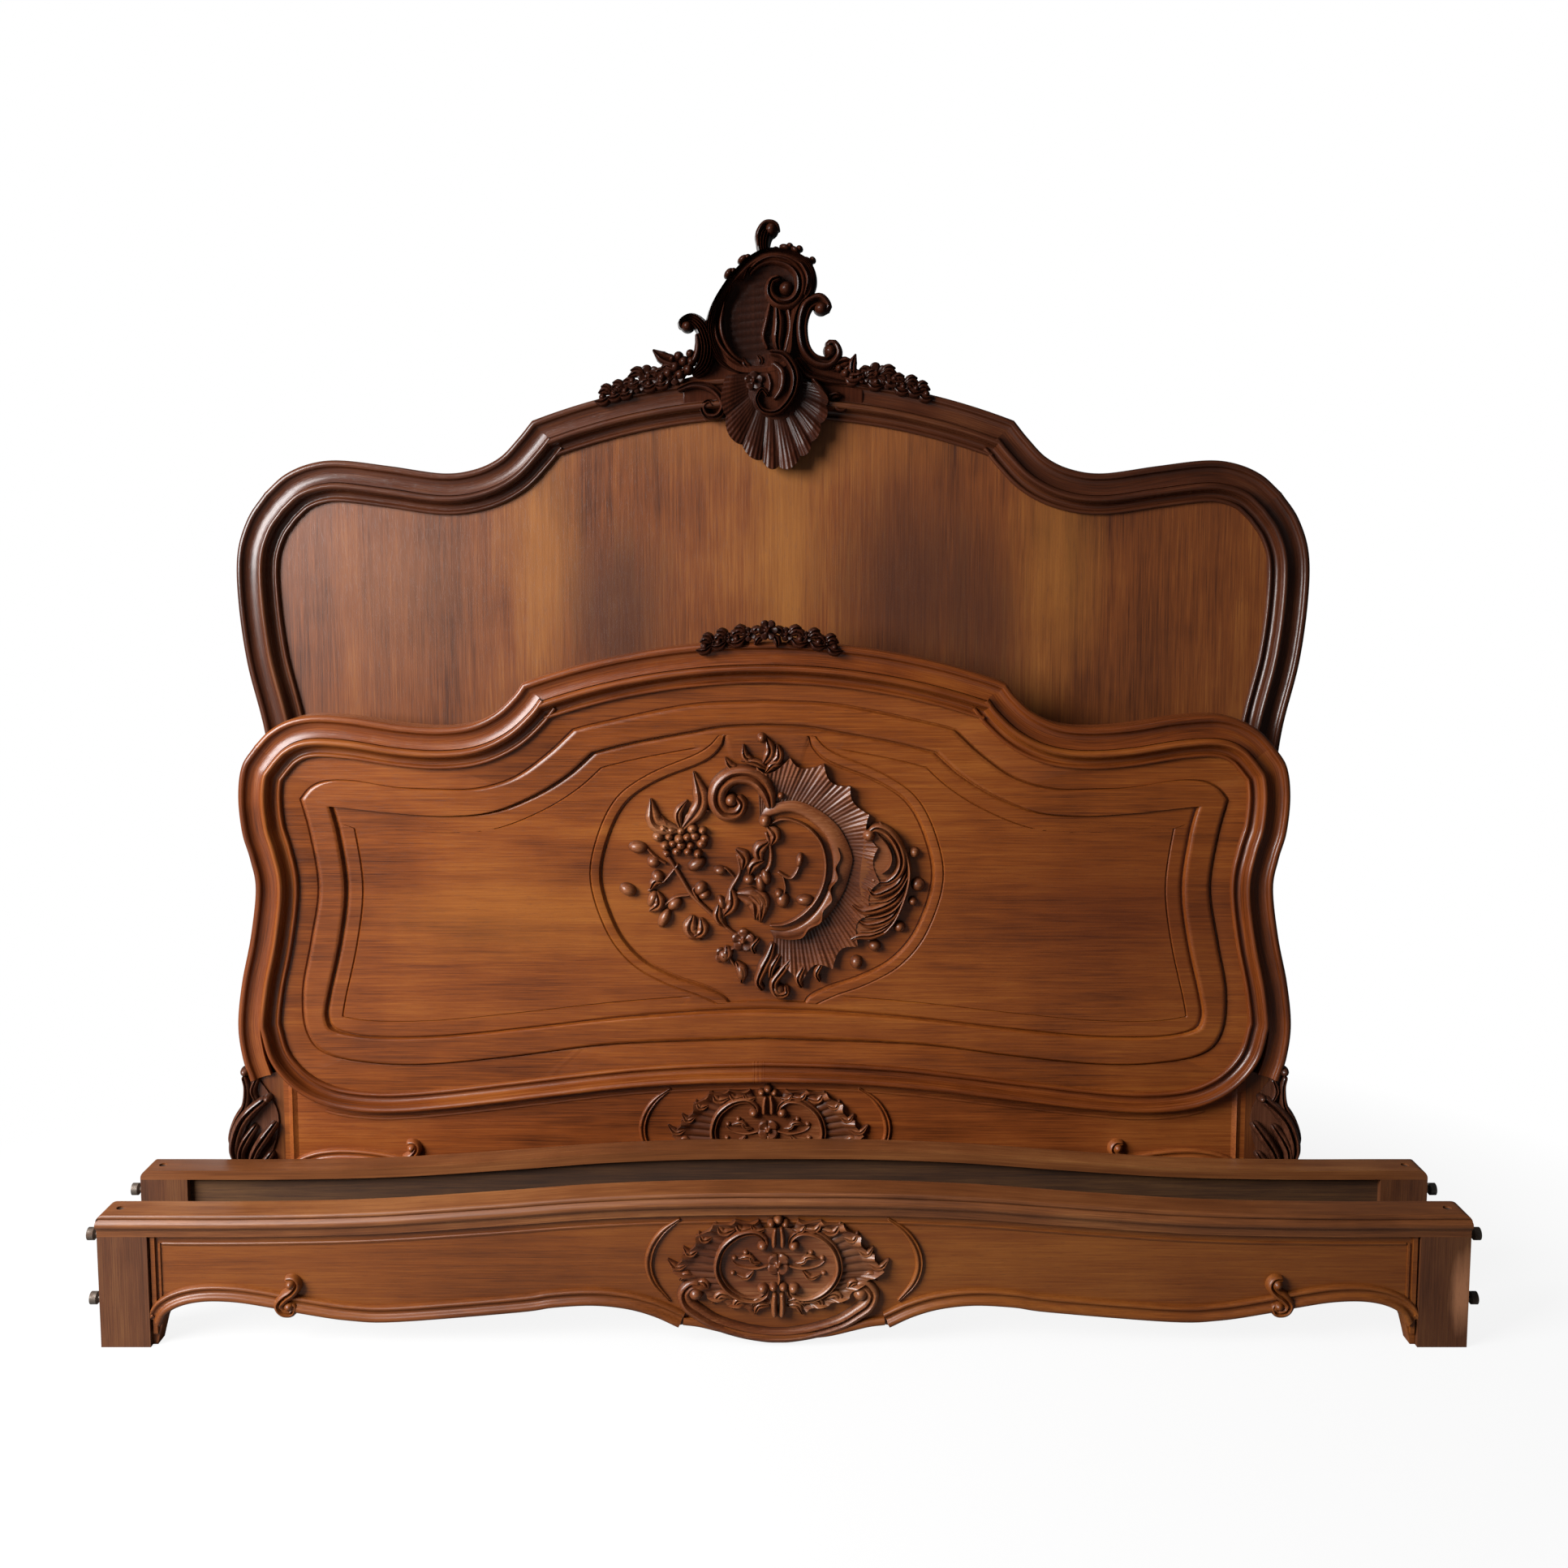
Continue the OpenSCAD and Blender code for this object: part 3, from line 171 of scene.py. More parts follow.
class Piece:
    """A new piece: closed skins in one mesh, each with a grain map and a height over its ground.
    The ground is the level, in front of the board's flat face, that the carving stands on."""

    def __init__(self, board, ground=0):
        self.middle, self.plane, self.way = BOARDS[board]
        self.ground = ground
        self.points, self.corners, self.sizes, self.maps, self.relief = [], [], [], [], []
        self.count = 0

    def skin(self, rows, ring=False, grain=None, relief=None, point_ends=False):
        """Closes rows of points, each row a loop, into a solid. Rows follow each other as a
        ring, or end in a flat face, or in a fan round the end row's middle."""
        n, m, _ = rows.shape
        points = rows.reshape(-1, 3)
        i = np.arange(n if ring else n - 1)[:, None]
        j = np.arange(m)[None, :]
        quads = np.stack(
            np.broadcast_arrays(
                i * m + j, i * m + (j + 1) % m,
                (i + 1) % n * m + (j + 1) % m, (i + 1) % n * m + j
            ), -1
        ).reshape(-1, 4)
        a, b, c, d = (points[quads[:, k]] for k in range(4))
        grain = (rows[..., [0, 2]] if grain is None else grain).reshape(-1, 2)
        relief = np.broadcast_to(1.0 if relief is None else relief, (n, m)).reshape(-1)
        volume = np.sum(a * np.cross(b, c) + a * np.cross(c, d))
        ends = []
        if not ring and point_ends:
            points = np.vstack([points, rows[:1].mean(1), rows[-1:].mean(1)])
            grain = np.vstack([grain, grain[:1], grain[-1:]])
            relief = np.concatenate([relief, [relief[:m].mean(), relief[-m:].mean()]])
            k = np.arange(m)
            ends = [
                np.stack([(k + 1) % m, k, np.full(m, n * m)], -1),
                np.stack([(n - 1) * m + k, (n - 1) * m + (k + 1) % m, np.full(m, n * m + 1)], -1),
            ]
        elif not ring:
            ends = [np.arange(m)[None, ::-1], (n - 1) * m + np.arange(m)[None]]
        for faces in ends:
            p = points[faces]
            volume += np.sum(p[:, :1] * np.cross(p[:, 1:-1], p[:, 2:]))
        flip = -1 if volume < 0 else 1
        for faces in [quads] + ends:
            self.corners.append((faces[:, ::flip] + self.count).reshape(-1))
            self.sizes.append(np.full(len(faces), faces.shape[1]))
        self.points.append(points)
        self.maps.append(grain)
        self.relief.append(relief)
        self.count += len(points)

    def box(self, x, y, z):
        """A plain block between two values on each axis."""
        rows = np.array([
            [(x[i], y[0], z[k]), (x[i], y[1], z[k]), (x[1 - i], y[1], z[k]), (x[1 - i], y[0], z[k])]
            for i, k in ((0, 0), (0, 1))
        ], float)
        self.skin(rows)

    def shape(self, name):
        """The skins as one object in the board's place, not yet part of the model."""
        points = np.vstack(self.points)
        placed = np.empty_like(points)
        placed[:, 0] = self.middle + self.way * points[:, 0] * MM
        placed[:, 1] = self.plane + self.way * points[:, 1] * MM
        placed[:, 2] = points[:, 2] * MM
        corners, sizes = np.concatenate(self.corners), np.concatenate(self.sizes)
        mesh = bpy.data.meshes.new(name)
        mesh.vertices.add(len(placed))
        mesh.vertices.foreach_set("co", placed.astype(np.float32).ravel())
        mesh.loops.add(len(corners))
        mesh.loops.foreach_set("vertex_index", corners.astype(np.int32))
        mesh.polygons.add(len(sizes))
        starts = np.concatenate([[0], np.cumsum(sizes)[:-1]])
        mesh.polygons.foreach_set("loop_start", starts.astype(np.int32))
        mesh.update(calc_edges=True)
        grain = mesh.uv_layers.new(name="grain")
        grain.data.foreach_set("uv", (np.vstack(self.maps)[corners] * MM).astype(np.float32).ravel())
        height = mesh.attributes.new("relief", "FLOAT", "POINT")
        height.data.foreach_set("value", np.concatenate(self.relief).astype(np.float32))
        mesh.polygons.foreach_set("use_smooth", np.ones(len(sizes), bool))
        made = bpy.data.objects.new(name, mesh)
        bpy.context.scene.collection.objects.link(made)
        return made

    def build(self, name, slot, finish, *nodes, angle=38, cutter=None, backing=None):
        """Makes the object, cuts it where it must be open, and lets it stand for the CAD nodes.
        backing is the finish of the faces that look backward; on the rails it is darker, as painted shade."""
        piece = self.shape(name)
        if cutter is not None:
            cut = piece.modifiers.new("cut", "BOOLEAN")
            cut.object = cutter.shape(name + "_cutter")
            cut.solver = "EXACT"
            seen = piece.evaluated_get(bpy.context.evaluated_depsgraph_get())
            open_mesh = bpy.data.meshes.new_from_object(seen)
            bpy.data.objects.remove(cut.object)
            piece.modifiers.clear()
            piece.data = open_mesh
        piece.data.set_sharp_from_angle(angle=math.radians(angle))
        piece.data.materials.clear()
        piece.data.materials.append(finish)
        if backing is not None:
            piece.data.materials.append(backing)
            normals = np.empty(3 * len(piece.data.polygons), np.float32)
            piece.data.polygons.foreach_get("normal", normals)
            behind = normals[1::3] * self.way > 0.9
            piece.data.polygons.foreach_set("material_index", behind.astype(np.int32))
        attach(piece, "bed")
        if nodes:
            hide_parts(*nodes)


def stand_for(piece, node, ending, finish, slot="walnut", **how):
    """Builds a piece in the place of a CAD node, and names it after the node."""
    piece.build(node + "_" + ending, slot, finish, node, **how)


def carried(line, section, closed=False, ways=None, first=0, last=None):
    """Rows of a moulding: point of the line + distance in * mitre direction, at the section's y."""
    line = np.asarray(line, float)
    section = np.asarray(section, float)
    ways = mitres(line, closed) if ways is None else ways
    last = len(line) if last is None else last
    line, ways = line[first:last], ways[first:last]
    return raised(line[:, None] + section[None, :, :1] * ways[:, None], section[None, :, 1])


def run_grain(line, section):
    """Grain that runs along a moulding: distance along the line, distance round the section."""
    along = length_along(np.asarray(line, float))
    across = length_along(np.asarray(section, float))
    return np.stack(np.broadcast_arrays(along[:, None], across[None]), -1)


def plank(piece, outline, front, back, round_edge=2.0):
    """A flat board: the outline carried back, with a quarter round on its front edge."""
    outline = np.asarray(outline, float)
    x, z = outline.T
    if np.sum(x * np.roll(z, -1) - z * np.roll(x, -1)) < 0:
        outline = outline[::-1]
    ways = mitres(outline, closed=True)
    turn = np.radians(np.linspace(0, 90, 4))
    inset = np.concatenate([[0], round_edge * (1 - np.cos(turn)), [round_edge + 0.3]])
    y = np.concatenate([[back], front + round_edge * (1 - np.sin(turn)), [front]])
    piece.skin(raised(outline[None] + inset[:, None, None] * ways[None], y[:, None]))


# Carver's tools. A section is (across, -1 to 1; height, 0 to 1)
across = np.linspace(-1, 1, 13)
half_circle = np.sqrt(1 - across ** 2)
ROUND = np.stack([across, half_circle], -1)
VEINED = np.stack([across, half_circle ** 0.8 * (1 - 0.5 * np.exp(-(across / 0.2) ** 2))], -1)
FLUTED = np.stack([across, half_circle ** 0.6 * (0.55 + 0.45 * np.cos(3 * np.pi * across) ** 2)], -1)
TWIN = np.stack([across, half_circle ** 0.7 * (1 - 0.6 * np.exp(-((across - 0.25) / 0.3) ** 2))], -1)
RIDGE = np.stack([across, 1 - np.abs(across) ** 0.8], -1)


def rod(piece, points, half, high, section=ROUND, base=0):
    """A carved member: a section carried along a smooth line. Its half width and its height
    are read off two short lists spread evenly along it, and both ends close in a quarter round."""
    line = smooth(points, 10)
    s = length_along(line)
    r0, r1 = (min(r, 0.45 * s[-1]) for r in (half[0], half[-1]))
    turn = np.radians(np.linspace(10, 90, 5))
    count = max(5, int(s[-1] / 2.2))
    body = np.linspace(r0, s[-1] - r1, count)[1:-1]
    at = np.concatenate([r0 * (1 - np.cos(turn - turn[0])), body,
                         s[-1] - r1 * (1 - np.cos(turn - turn[0]))[::-1]])
    close = np.concatenate([np.sin(turn), np.ones(len(body)), np.sin(turn)[::-1]])
    place = np.stack([np.interp(at, s, line[:, k]) for k in (0, 1)], -1)
    ahead = np.gradient(line, axis=0)
    ahead = np.stack([np.interp(at, s, ahead[:, k]) for k in (0, 1)], -1)
    ahead /= np.hypot(*ahead.T)[:, None]
    side = np.stack([-ahead[:, 1], ahead[:, 0]], -1)
    t = at / s[-1]
    wide = np.interp(t, np.linspace(0, 1, len(half)), half) * close
    tall = np.interp(t, np.linspace(0, 1, len(high)), high) * (0.25 + 0.75 * close)
    loop = np.vstack([section, [(1, -0.1), (-1, -0.1)]])
    flat = place[:, None] + loop[None, :, :1] * (wide[:, None] * side)[:, None]
    y = -(piece.ground + base) - tall[:, None] * loop[None, :, 1]
    piece.skin(raised(flat, y), relief=np.clip(loop[None, :, 1], 0, 1) * (tall / tall.max())[:, None])


def rods(piece, *members):
    """Carved members one after another, each with what rod is told of it."""
    for member in members:
        rod(piece, *member)


def mound(piece, outline, centre, rise, rings=12, base=0):
    """A carved boss: rings drawn in from an outline to its centre. rise gives the height from
    the share of the way out, the share of the way round, and x and z. The outermost ring is let
    1 mm into the ground."""
    outline = np.asarray(outline, float)
    out = np.concatenate([[1, 1], np.linspace(1, 0.03, rings)[1:]])
    round_share = np.arange(len(outline)) / len(outline)
    flat = centre + out[:, None, None] * (outline - centre)[None]
    lift = rise(out[:, None], round_share[None], flat[..., 0], flat[..., 1])
    lift = np.broadcast_to(lift, flat.shape[:2]).copy()
    lift[0] = -1
    relief = np.clip(lift / lift.max(), 0, 1)
    piece.skin(raised(flat, -(piece.ground + base) - lift), relief=relief, point_ends=True)


def band(piece, inner, outer, rise, count=150, strips=10, reach=None):
    """A carved band between two lines run side by side. rise gives the height from the share
    of the way along and the share of the way over; reach draws the outer line in or out."""
    inner, outer = evenly(smooth(inner, 10), count), evenly(smooth(outer, 10), count)
    along = np.linspace(0, 1, count)[:, None]
    over = np.linspace(0, 1, strips)[None]
    far = over * (1.0 if reach is None else reach(along))
    flat = inner[:, None] + (outer - inner)[:, None] * far[..., None]
    lift = np.broadcast_to(rise(along, over), (count, strips))
    rows = raised(flat, -piece.ground - lift)
    rows = np.concatenate([rows, rows[:, -1:], rows[:, :1]], 1)
    rows[:, strips:, 1] = 1 - piece.ground
    relief = np.concatenate([lift / lift.max(), np.zeros((count, 2))], 1)
    piece.skin(rows, relief=np.clip(relief, 0, 1))


def bead(piece, at, rx, rz, high, turn=0, base=0):
    """A rounded berry or eye."""
    def rise(out, u, x, z):
        return high * np.sqrt(1.02 - out ** 2)

    mound(piece, oval(at, rx, rz, turn, 20), at, rise, 7, base)


def blossom(piece, at, r, high, petals=5, turn=0, base=0):
    """An open flower: petals with a groove between, round a button."""
    a = np.arange(60) * 2 * np.pi / 60
    reach = r * (0.78 + 0.22 * np.abs(np.cos(petals * (a - math.radians(turn)) / 2)) ** 0.7)
    outline = np.stack([at[0] + reach * np.cos(a), at[1] + reach * np.sin(a)], -1)

    def rise(out, u, x, z):
        groove = np.abs(np.cos(petals * (2 * np.pi * u - math.radians(turn)) / 2)) ** 0.5
        dish = 0.45 + 0.35 * out * groove - 0.25 * np.clip(out - 0.85, 0, 1) * 4
        return high * (dish + 0.75 * np.exp(-(out / 0.22) ** 2))

    mound(piece, outline, at, rise, 14, base)


def leaf(piece, p, q, wide, high, bend=0.15, base=0):
    """A small leaf with a sunk vein, from its stalk at p to its tip at q."""
    half = [0.3 * wide, wide, 0.9 * wide, 0.15 * wide]
    rod(piece, bowed(p, q, bend), half, [0.6 * high, high, high, 0.5 * high], VEINED, base)


def level(height):
    """The rise of a flat ground."""
    def rise(out, u, x, z):
        return height + 0 * out
    return rise


def spikes(number, depth):
    """Reach of a ruffled edge: points with a hollow curve between them."""
    def reach(u):
        return 1 - depth * (1 - (2 * (number * u % 1) - 1) ** 2)
    return reach


# Shader maths
class Value:
    """A socket that adds Math nodes when it is used in an expression."""

    def __init__(self, nodes, socket):
        self.nodes, self.socket = nodes, socket

    def maths(self, operation, *values):
        return self.nodes.node("Math", {"operation": operation}, {i: v for i, v in enumerate(values)})

    def __add__(self, other):
        return self.maths("ADD", self, other)

    def __sub__(self, other):
        return self.maths("SUBTRACT", self, other)

    def __rsub__(self, other):
        return self.maths("SUBTRACT", other, self)

    def __mul__(self, other):
        return self.maths("MULTIPLY", self, other)

    def __pow__(self, other):
        return self.maths("POWER", self, other)

    __radd__, __rmul__ = __add__, __mul__

    def clipped(self):
        return self.nodes.node("Clamp", {}, {0: self})


class Nodes:
    """The node tree of a material or of the world, emptied for new nodes."""

    def __init__(self, owner):
        owner.use_nodes = True
        self.owner, self.tree = owner, owner.node_tree
        self.tree.nodes.clear()

    def node(self, kind, settings, sockets, out=0):
        made = self.tree.nodes.new("ShaderNode" + kind)
        for key, value in settings.items():
            if key == "stops":
                ramp = made.color_ramp
                while len(ramp.elements) < len(value):
                    ramp.elements.new(0.5)
                for element, (place, colour) in zip(ramp.elements, value):
                    element.position = place
                    element.color = colour
            else:
                setattr(made, key, value)
        for key, value in sockets.items():
            if isinstance(value, Value):
                self.tree.links.new(value.socket, made.inputs[key])
            else:
                made.inputs[key].default_value = value
        return Value(self, made.outputs[out])

    def noise(self, place, scale, detail=3.0, rough=0.5, bend=0.0):
        stretched = self.node("Mapping", {}, {"Vector": place, "Scale": scale})
        return self.node("TexNoise", {}, {
            "Vector": stretched, "Scale": 1.0, "Detail": detail, "Roughness": rough, "Distortion": bend
        })

    def mix(self, factor, a, b, blend="MIX"):
        return self.node("Mix", {"data_type": "RGBA", "blend_type": blend}, {0: factor, 6: a, 7: b}, out=2)

    def shown(self, surface, output="OutputMaterial"):
        """Joins a surface to the output and gives the finished material or world."""
        end = self.tree.nodes.new("ShaderNode" + output)
        self.tree.links.new(surface.socket, end.inputs["Surface"])
        return self.owner

    def shell(self, sockets):
        return self.shown(self.node("BsdfPrincipled", {}, sockets))


def shade(text):
    """A colour written as six hexadecimal digits, in the light's own linear numbers."""
    parts = [int(text[i:i + 2], 16) / 255 for i in (0, 2, 4)]
    return tuple(p / 12.92 if p <= 0.04045 else ((p + 0.055) / 1.055) ** 2.4 for p in parts) + (1.0,)


# Colour of the painted shade in the low ground of carved work
PAINTED_SHADE_TONE = shade("1c0d08")


def walnut(name, grain, dark, middle, light, gloss, carved=False, patches=(), figure=1.0, coat=0.12,
           coat_rough=0.45, shine=0.35, painted_shade=0.75):
    """Waxed walnut: broad figure, streaks and fine lines drawn out along the grain, short dark
    pores, a cloudy old stain, and on carved work painted shade on the low ground and a painted
    highlight on the high places."""
    f = Nodes(bpy.data.materials.new(name))
    dark, middle, light = shade(dark), shade(middle), shade(light)
    if grain == "run":
        place = f.node("UVMap", {"uv_map": "grain"}, {})
    else:
        place = f.node("TexCoord", {}, {}, out="Object")

    def stretch(along, over):
        if grain == "z":
            return over, over, along
        return along, over, over

    broad = f.noise(place, stretch(1.1, 8.0), 3.0, 0.5, 0.8)
    streaks = f.noise(place, stretch(4.0, 70.0), 4.0, 0.6, 0.3)
    lines = f.noise(place, stretch(12.0, 650.0), 3.0, 0.6)
    pores = f.noise(place, stretch(60.0, 1500.0), 2.0, 0.6)
    cloud = f.noise(place, (3.1, 3.1, 3.1), 4.0, 0.6)
    tone = 0.5 + figure * (
        0.7 * (broad - 0.5) + 0.45 * (streaks - 0.5) + 0.8 * (lines - 0.5) + 0.8 * (cloud - 0.5)
    )
    colour = f.node("ValToRGB", {"stops": [(0.12, dark), (0.5, middle), (0.88, light)]}, {0: tone})
    for x, z, wide, high, tint, amount in patches:
        spot = f.node("Mapping", {"vector_type": "POINT"}, {
            "Vector": place, "Location": (-x / wide, 0, -z / high), "Scale": (1000 / wide, 0, 1000 / high)
        })
        far = f.node("VectorMath", {"operation": "LENGTH"}, {0: spot}, out="Value")
        edge = (1.3 - far + 1.2 * (streaks - 0.5) + 1.2 * (cloud - 0.5)).clipped()
        colour = f.mix((edge * amount).clipped(), colour, shade(tint))
    tick = ((pores - 0.6) * 9.0).clipped()
    colour = f.mix(tick * 0.4, colour, dark)
    rough = gloss + 0.16 * (cloud - 0.5) + 0.1 * (lines - 0.5) + 0.12 * tick
    if carved:
        relief = f.node("Attribute", {"attribute_name": "relief"}, {}, out="Fac")
        # Painted shade: the colour darkens toward the carving's low ground, where shade falls
        ground = (1.0 - relief) ** 1.6
        colour = f.mix((ground * painted_shade).clipped(), colour, PAINTED_SHADE_TONE)
        # Painted highlight: the highest places of the carving are lightened
        colour = f.mix(((relief ** 6.0) * 0.25).clipped(), colour, light)
        rough = rough + 0.18 * ground
    bump = f.node("Bump", {}, {
        "Height": 0.5 * lines - 0.9 * tick + 0.3 * streaks, "Strength": 0.18, "Distance": 0.0005
    })
    return f.shell({
        "Base Color": colour, "Roughness": rough, "Normal": bump,
        "Coat Weight": coat, "Coat Roughness": coat_rough, "Specular IOR Level": shine
    })


def old_iron(name):
    """Dull forged iron with brown rust in blotches."""
    f = Nodes(bpy.data.materials.new(name))
    place = f.node("TexCoord", {}, {}, out="Object")
    blotch = f.noise(place, (60.0, 60.0, 60.0), 5.0, 0.6)
    grit = f.noise(place, (700.0, 700.0, 700.0), 3.0, 0.6)
    rust = ((blotch - 0.45) * 5.0).clipped()
    colour = f.mix(rust, shade("6a625a"), shade("4a3424"))
    bump = f.node("Bump", {}, {"Height": grit + blotch, "Strength": 0.35, "Distance": 0.0006})
    return f.shell({
        "Base Color": colour, "Metallic": 0.75 - 0.6 * rust, "Roughness": 0.42 + 0.35 * rust, "Normal": bump
    })


# Figure of the headboard's veneer, and on its left a grey-brown patch of painted sheen. A patch has x, z,
# width and height in millimetres, tone and amount
GOLD, PURPLE, PAINTED_SHEEN = "8e5a26", "371b10", "6a4229"
head_veneer = walnut(
    "head veneer", "z", "381a0c", "6a3716", "8a5424", gloss=0.33, coat=0.35, coat_rough=0.5,
    patches=[(-380, 1130, 60, 190, GOLD, 0.5), (4, 1180, 50, 330, GOLD, 0.45),
             (430, 1120, 70, 210, GOLD, 0.45), (-255, 1020, 80, 150, PURPLE, 0.7),
             (200, 1060, 130, 170, PURPLE, 0.7), (320, 980, 60, 150, PURPLE, 0.5),
             # The grey-brown patch on the left is painted sheen
             (-600, 1060, 170, 160, PAINTED_SHEEN, 0.4), (0, 1290, 300, 60, GOLD, 0.25)]
)
frame_dark = walnut("dark frame walnut", "run", "1c0c06", "432010", "643a20", gloss=0.25)
frame_warm = walnut("warm frame walnut", "run", "2c1006", "6a3210", "8e501c", gloss=0.27)
board_warm = walnut("warm board walnut", "x", "401c0a", "763a16", "945423", gloss=0.33)
panel_warm = walnut(
    "footboard panel walnut", "x", "3e1a09", "753a12", "92541f", gloss=0.31,
    patches=[(520, 560, 220, 130, "56240c", 0.45), (-420, 560, 200, 70, "92561f", 0.4)]
)
leg_warm = walnut("leg walnut", "z", "2c1209", "562b13", "744420", gloss=0.32)
rail_warm = walnut("rail walnut", "x", "3e1c0a", "703a14", "8c521f", gloss=0.36, figure=0.8)
cap_worn = walnut("worn cap walnut", "run", "40200e", "704020", "986438", gloss=0.4)
# The rails' inside faces: unpolished, and darker as painted shade in the narrow gap between the rails
inside_shaded = walnut("rail's unpolished inside, painted shade", "x", "1e0e06", "3e2410", "5c3c1e", gloss=0.7)
crest_dark = walnut(
    "crest walnut", "z", "100502", "281008", "4a2415", gloss=0.24, carved=True, coat=0.02,
    shine=0.12, painted_shade=0.9
)
carved_dark = walnut(
    "dark carved walnut", "z", "180a05", "3a1c10", "6e4430", gloss=0.22, carved=True, painted_shade=0.8
)
block_dull = walnut(
    "end block walnut", "z", "2c160a", "56301a", "704828", gloss=0.45,
    patches=[(954, 76, 13, 48, "a87250", 0.9)]
)
carved_warm = walnut(
    "carved walnut", "x", "34160a", "683418", "94603c", gloss=0.27, carved=True, painted_shade=0.8
)
iron = old_iron("old iron")
ledger_oak = walnut("ledger oak", "x", "3c2818", "6c4c30", "8a6a44", gloss=0.75)

# The headboard's and the footboard's frames
HEAD_FOOT = 466
HEAD_SIDE = joined([(794, HEAD_FOOT), (794, 619)],
                   smooth([(794, 619), (795, 719), (806, 832), (830, 941), (841, 1039), (840, 1114),
                           (822, 1169), (794, 1209)]))
HEAD_TOP = smooth([
    (794, 1209), (762, 1237), (722, 1254), (675, 1259), (597, 1250), (516, 1239), (466, 1245),
    (427, 1263), (398, 1292), (375, 1320)
])
HEAD_LINE = whole(joined(HEAD_SIDE, HEAD_TOP, arch(1389, 375, 69)))
FOOT_SIDE = smooth([
    (798, 300), (809, 338), (814, 390), (806, 455), (790, 528), (780, 603), (787, 649), (798, 691),
    (802, 746), (795, 793), (774, 825)
])
FOOT_TOP = smooth([
    (774, 825), (752, 847), (721, 864), (681, 871), (624, 867), (554, 856), (496, 852), (448, 857),
    (410, 874), (382, 899), (366, 920)
])
FOOT_LINE = whole(joined(FOOT_SIDE, FOOT_TOP, arch(983, 366, 63)))

EDGE, LEDGE, BACK = 34.6, 50, 30
FRAME_SECTION = profile(
    [(0, BACK)],
    [(0, -6), (0.8, -9.2), (3.2, -12), (6.6, -12.9), (9.4, -11.6), (10.8, -9)],
    [(11.2, -8.2), (14, -6.4), (19, -5.1), (25, -5.3), (30, -6.7), (34, -8.6)],
    end=[(EDGE, -8), (EDGE, 0), (LEDGE, 0), (LEDGE, BACK)],
)
RING_SECTION = profile(
    [(35.2, 0)],
    [(35.2, -8), (35.4, -13), (36.8, -17.3), (39.4, -19.8), (42.4, -19.6), (44.8, -17.2), (45.9, -14)],
    [(46.6, -13.4), (47.4, -9.4), (49.4, -5), (52.6, -2.4), (56, -2), (57.6, -2.8)],
    [(58.2, -3.2), (58.6, -5.6), (60.4, -7.4), (62.6, -7.3), (64.2, -5.2), (64.8, -2)],
    end=[(64.8, 0)],
)

# Keyhole plates, and room behind them for the studs' heads: middle, half widths, heights, depths
BOLT, PLATE_HALF, ROOM_HALF, PLATE, ROOM, POCKET, PLATE_DEPTH = 776, 12, 10, (318, 459), (324, 453), 23, 4


def pockets(board, face, into):
    """Room for the two keyhole plates and for the heads behind them; into is +1 or -1 along y."""
    cutter = Piece(board)
    for x in (-BOLT, BOLT):
        cutter.box((x - PLATE_HALF, x + PLATE_HALF), (face - into, face + into * PLATE_DEPTH), PLATE)
        cutter.box((x - ROOM_HALF, x + ROOM_HALF),
                   (face + into * (PLATE_DEPTH - 0.5), face + into * POCKET), ROOM)
    return cutter


def frame_run(board, line, first, last, node, finish, cutter=None):
    """One member of a moulded frame, cut at the mitres of its joints."""
    piece = Piece(board)
    piece.skin(carried(line, FRAME_SECTION, first=first, last=last),
               grain=run_grain(line[first:last], FRAME_SECTION))
    stand_for(piece, node, "moulded", finish, angle=50, cutter=cutter)


head_joint = len(HEAD_SIDE) - 1
foot_joint = len(FOOT_SIDE) - 1
frame_run("head", HEAD_LINE, head_joint, -head_joint, "head_top_rail", frame_dark)
frame_run("foot", FOOT_LINE, foot_joint, -foot_joint, "foot_top_rail", frame_warm)
LEG_FACE, LEG_IN, LEG_OUT = -13.1, 744, 794
for side, name in SIDES:
    ends = (0, head_joint + 1) if side > 0 else (len(HEAD_LINE) - head_joint - 1, len(HEAD_LINE))
    frame_run("head", HEAD_LINE, *ends, "head_post_" + name, frame_dark)
    leg = Piece("head")
    leg.box(sorted((side * LEG_IN, side * LEG_OUT)), (LEG_FACE, BACK), (0, HEAD_FOOT))
    leg.build("head_post_%s_leg" % name, "walnut", leg_warm, cutter=pockets("head", LEG_FACE, 1))
    ends = (0, foot_joint + 1) if side > 0 else (len(FOOT_LINE) - foot_joint - 1, len(FOOT_LINE))
    frame_run("foot", FOOT_LINE, *ends, "foot_post_" + name, frame_warm, pockets("foot", BACK, -1))

head_ring = Piece("head")
head_ring.skin(carried(HEAD_LINE, RING_SECTION), grain=run_grain(HEAD_LINE, RING_SECTION))
stand_for(head_ring, "head_panel_moulding", "turned", frame_dark, "dark_walnut", angle=50)

# The footboard's panel moulding follows the frame, and leaves it for its own lower sweep
FOOT_TURN = 16
foot_inner = FOOT_LINE + LEDGE * mitres(FOOT_LINE)
corner = foot_inner[FOOT_TURN]
FOOT_SWEEP = smooth([
    (0, 314), (115, 311), (230, 303), (380, 285), (500, 271), (586, 265), (652, 270), (695, 284),
    (728, 308), (752, 342), corner
], 6)
middle_at = len(FOOT_LINE) // 2
ring_half = joined(FOOT_SWEEP, foot_inner[FOOT_TURN:middle_at + 1])
foot_ring = loop(ring_half)
sweep_ways = mitres(foot_ring, closed=True)[:len(FOOT_SWEEP)]
half_ways = np.vstack([sweep_ways, mitres(FOOT_LINE)[FOOT_TURN + 1:middle_at + 1]])
ring_ways = loop(half_ways)
ring = Piece("foot")
section = RING_SECTION - (LEDGE, 0)
ring.skin(
    carried(foot_ring, section, closed=True, ways=ring_ways), ring=True, grain=run_grain(foot_ring, section)
)
stand_for(ring, "foot_panel_moulding", "turned", frame_warm, angle=50)

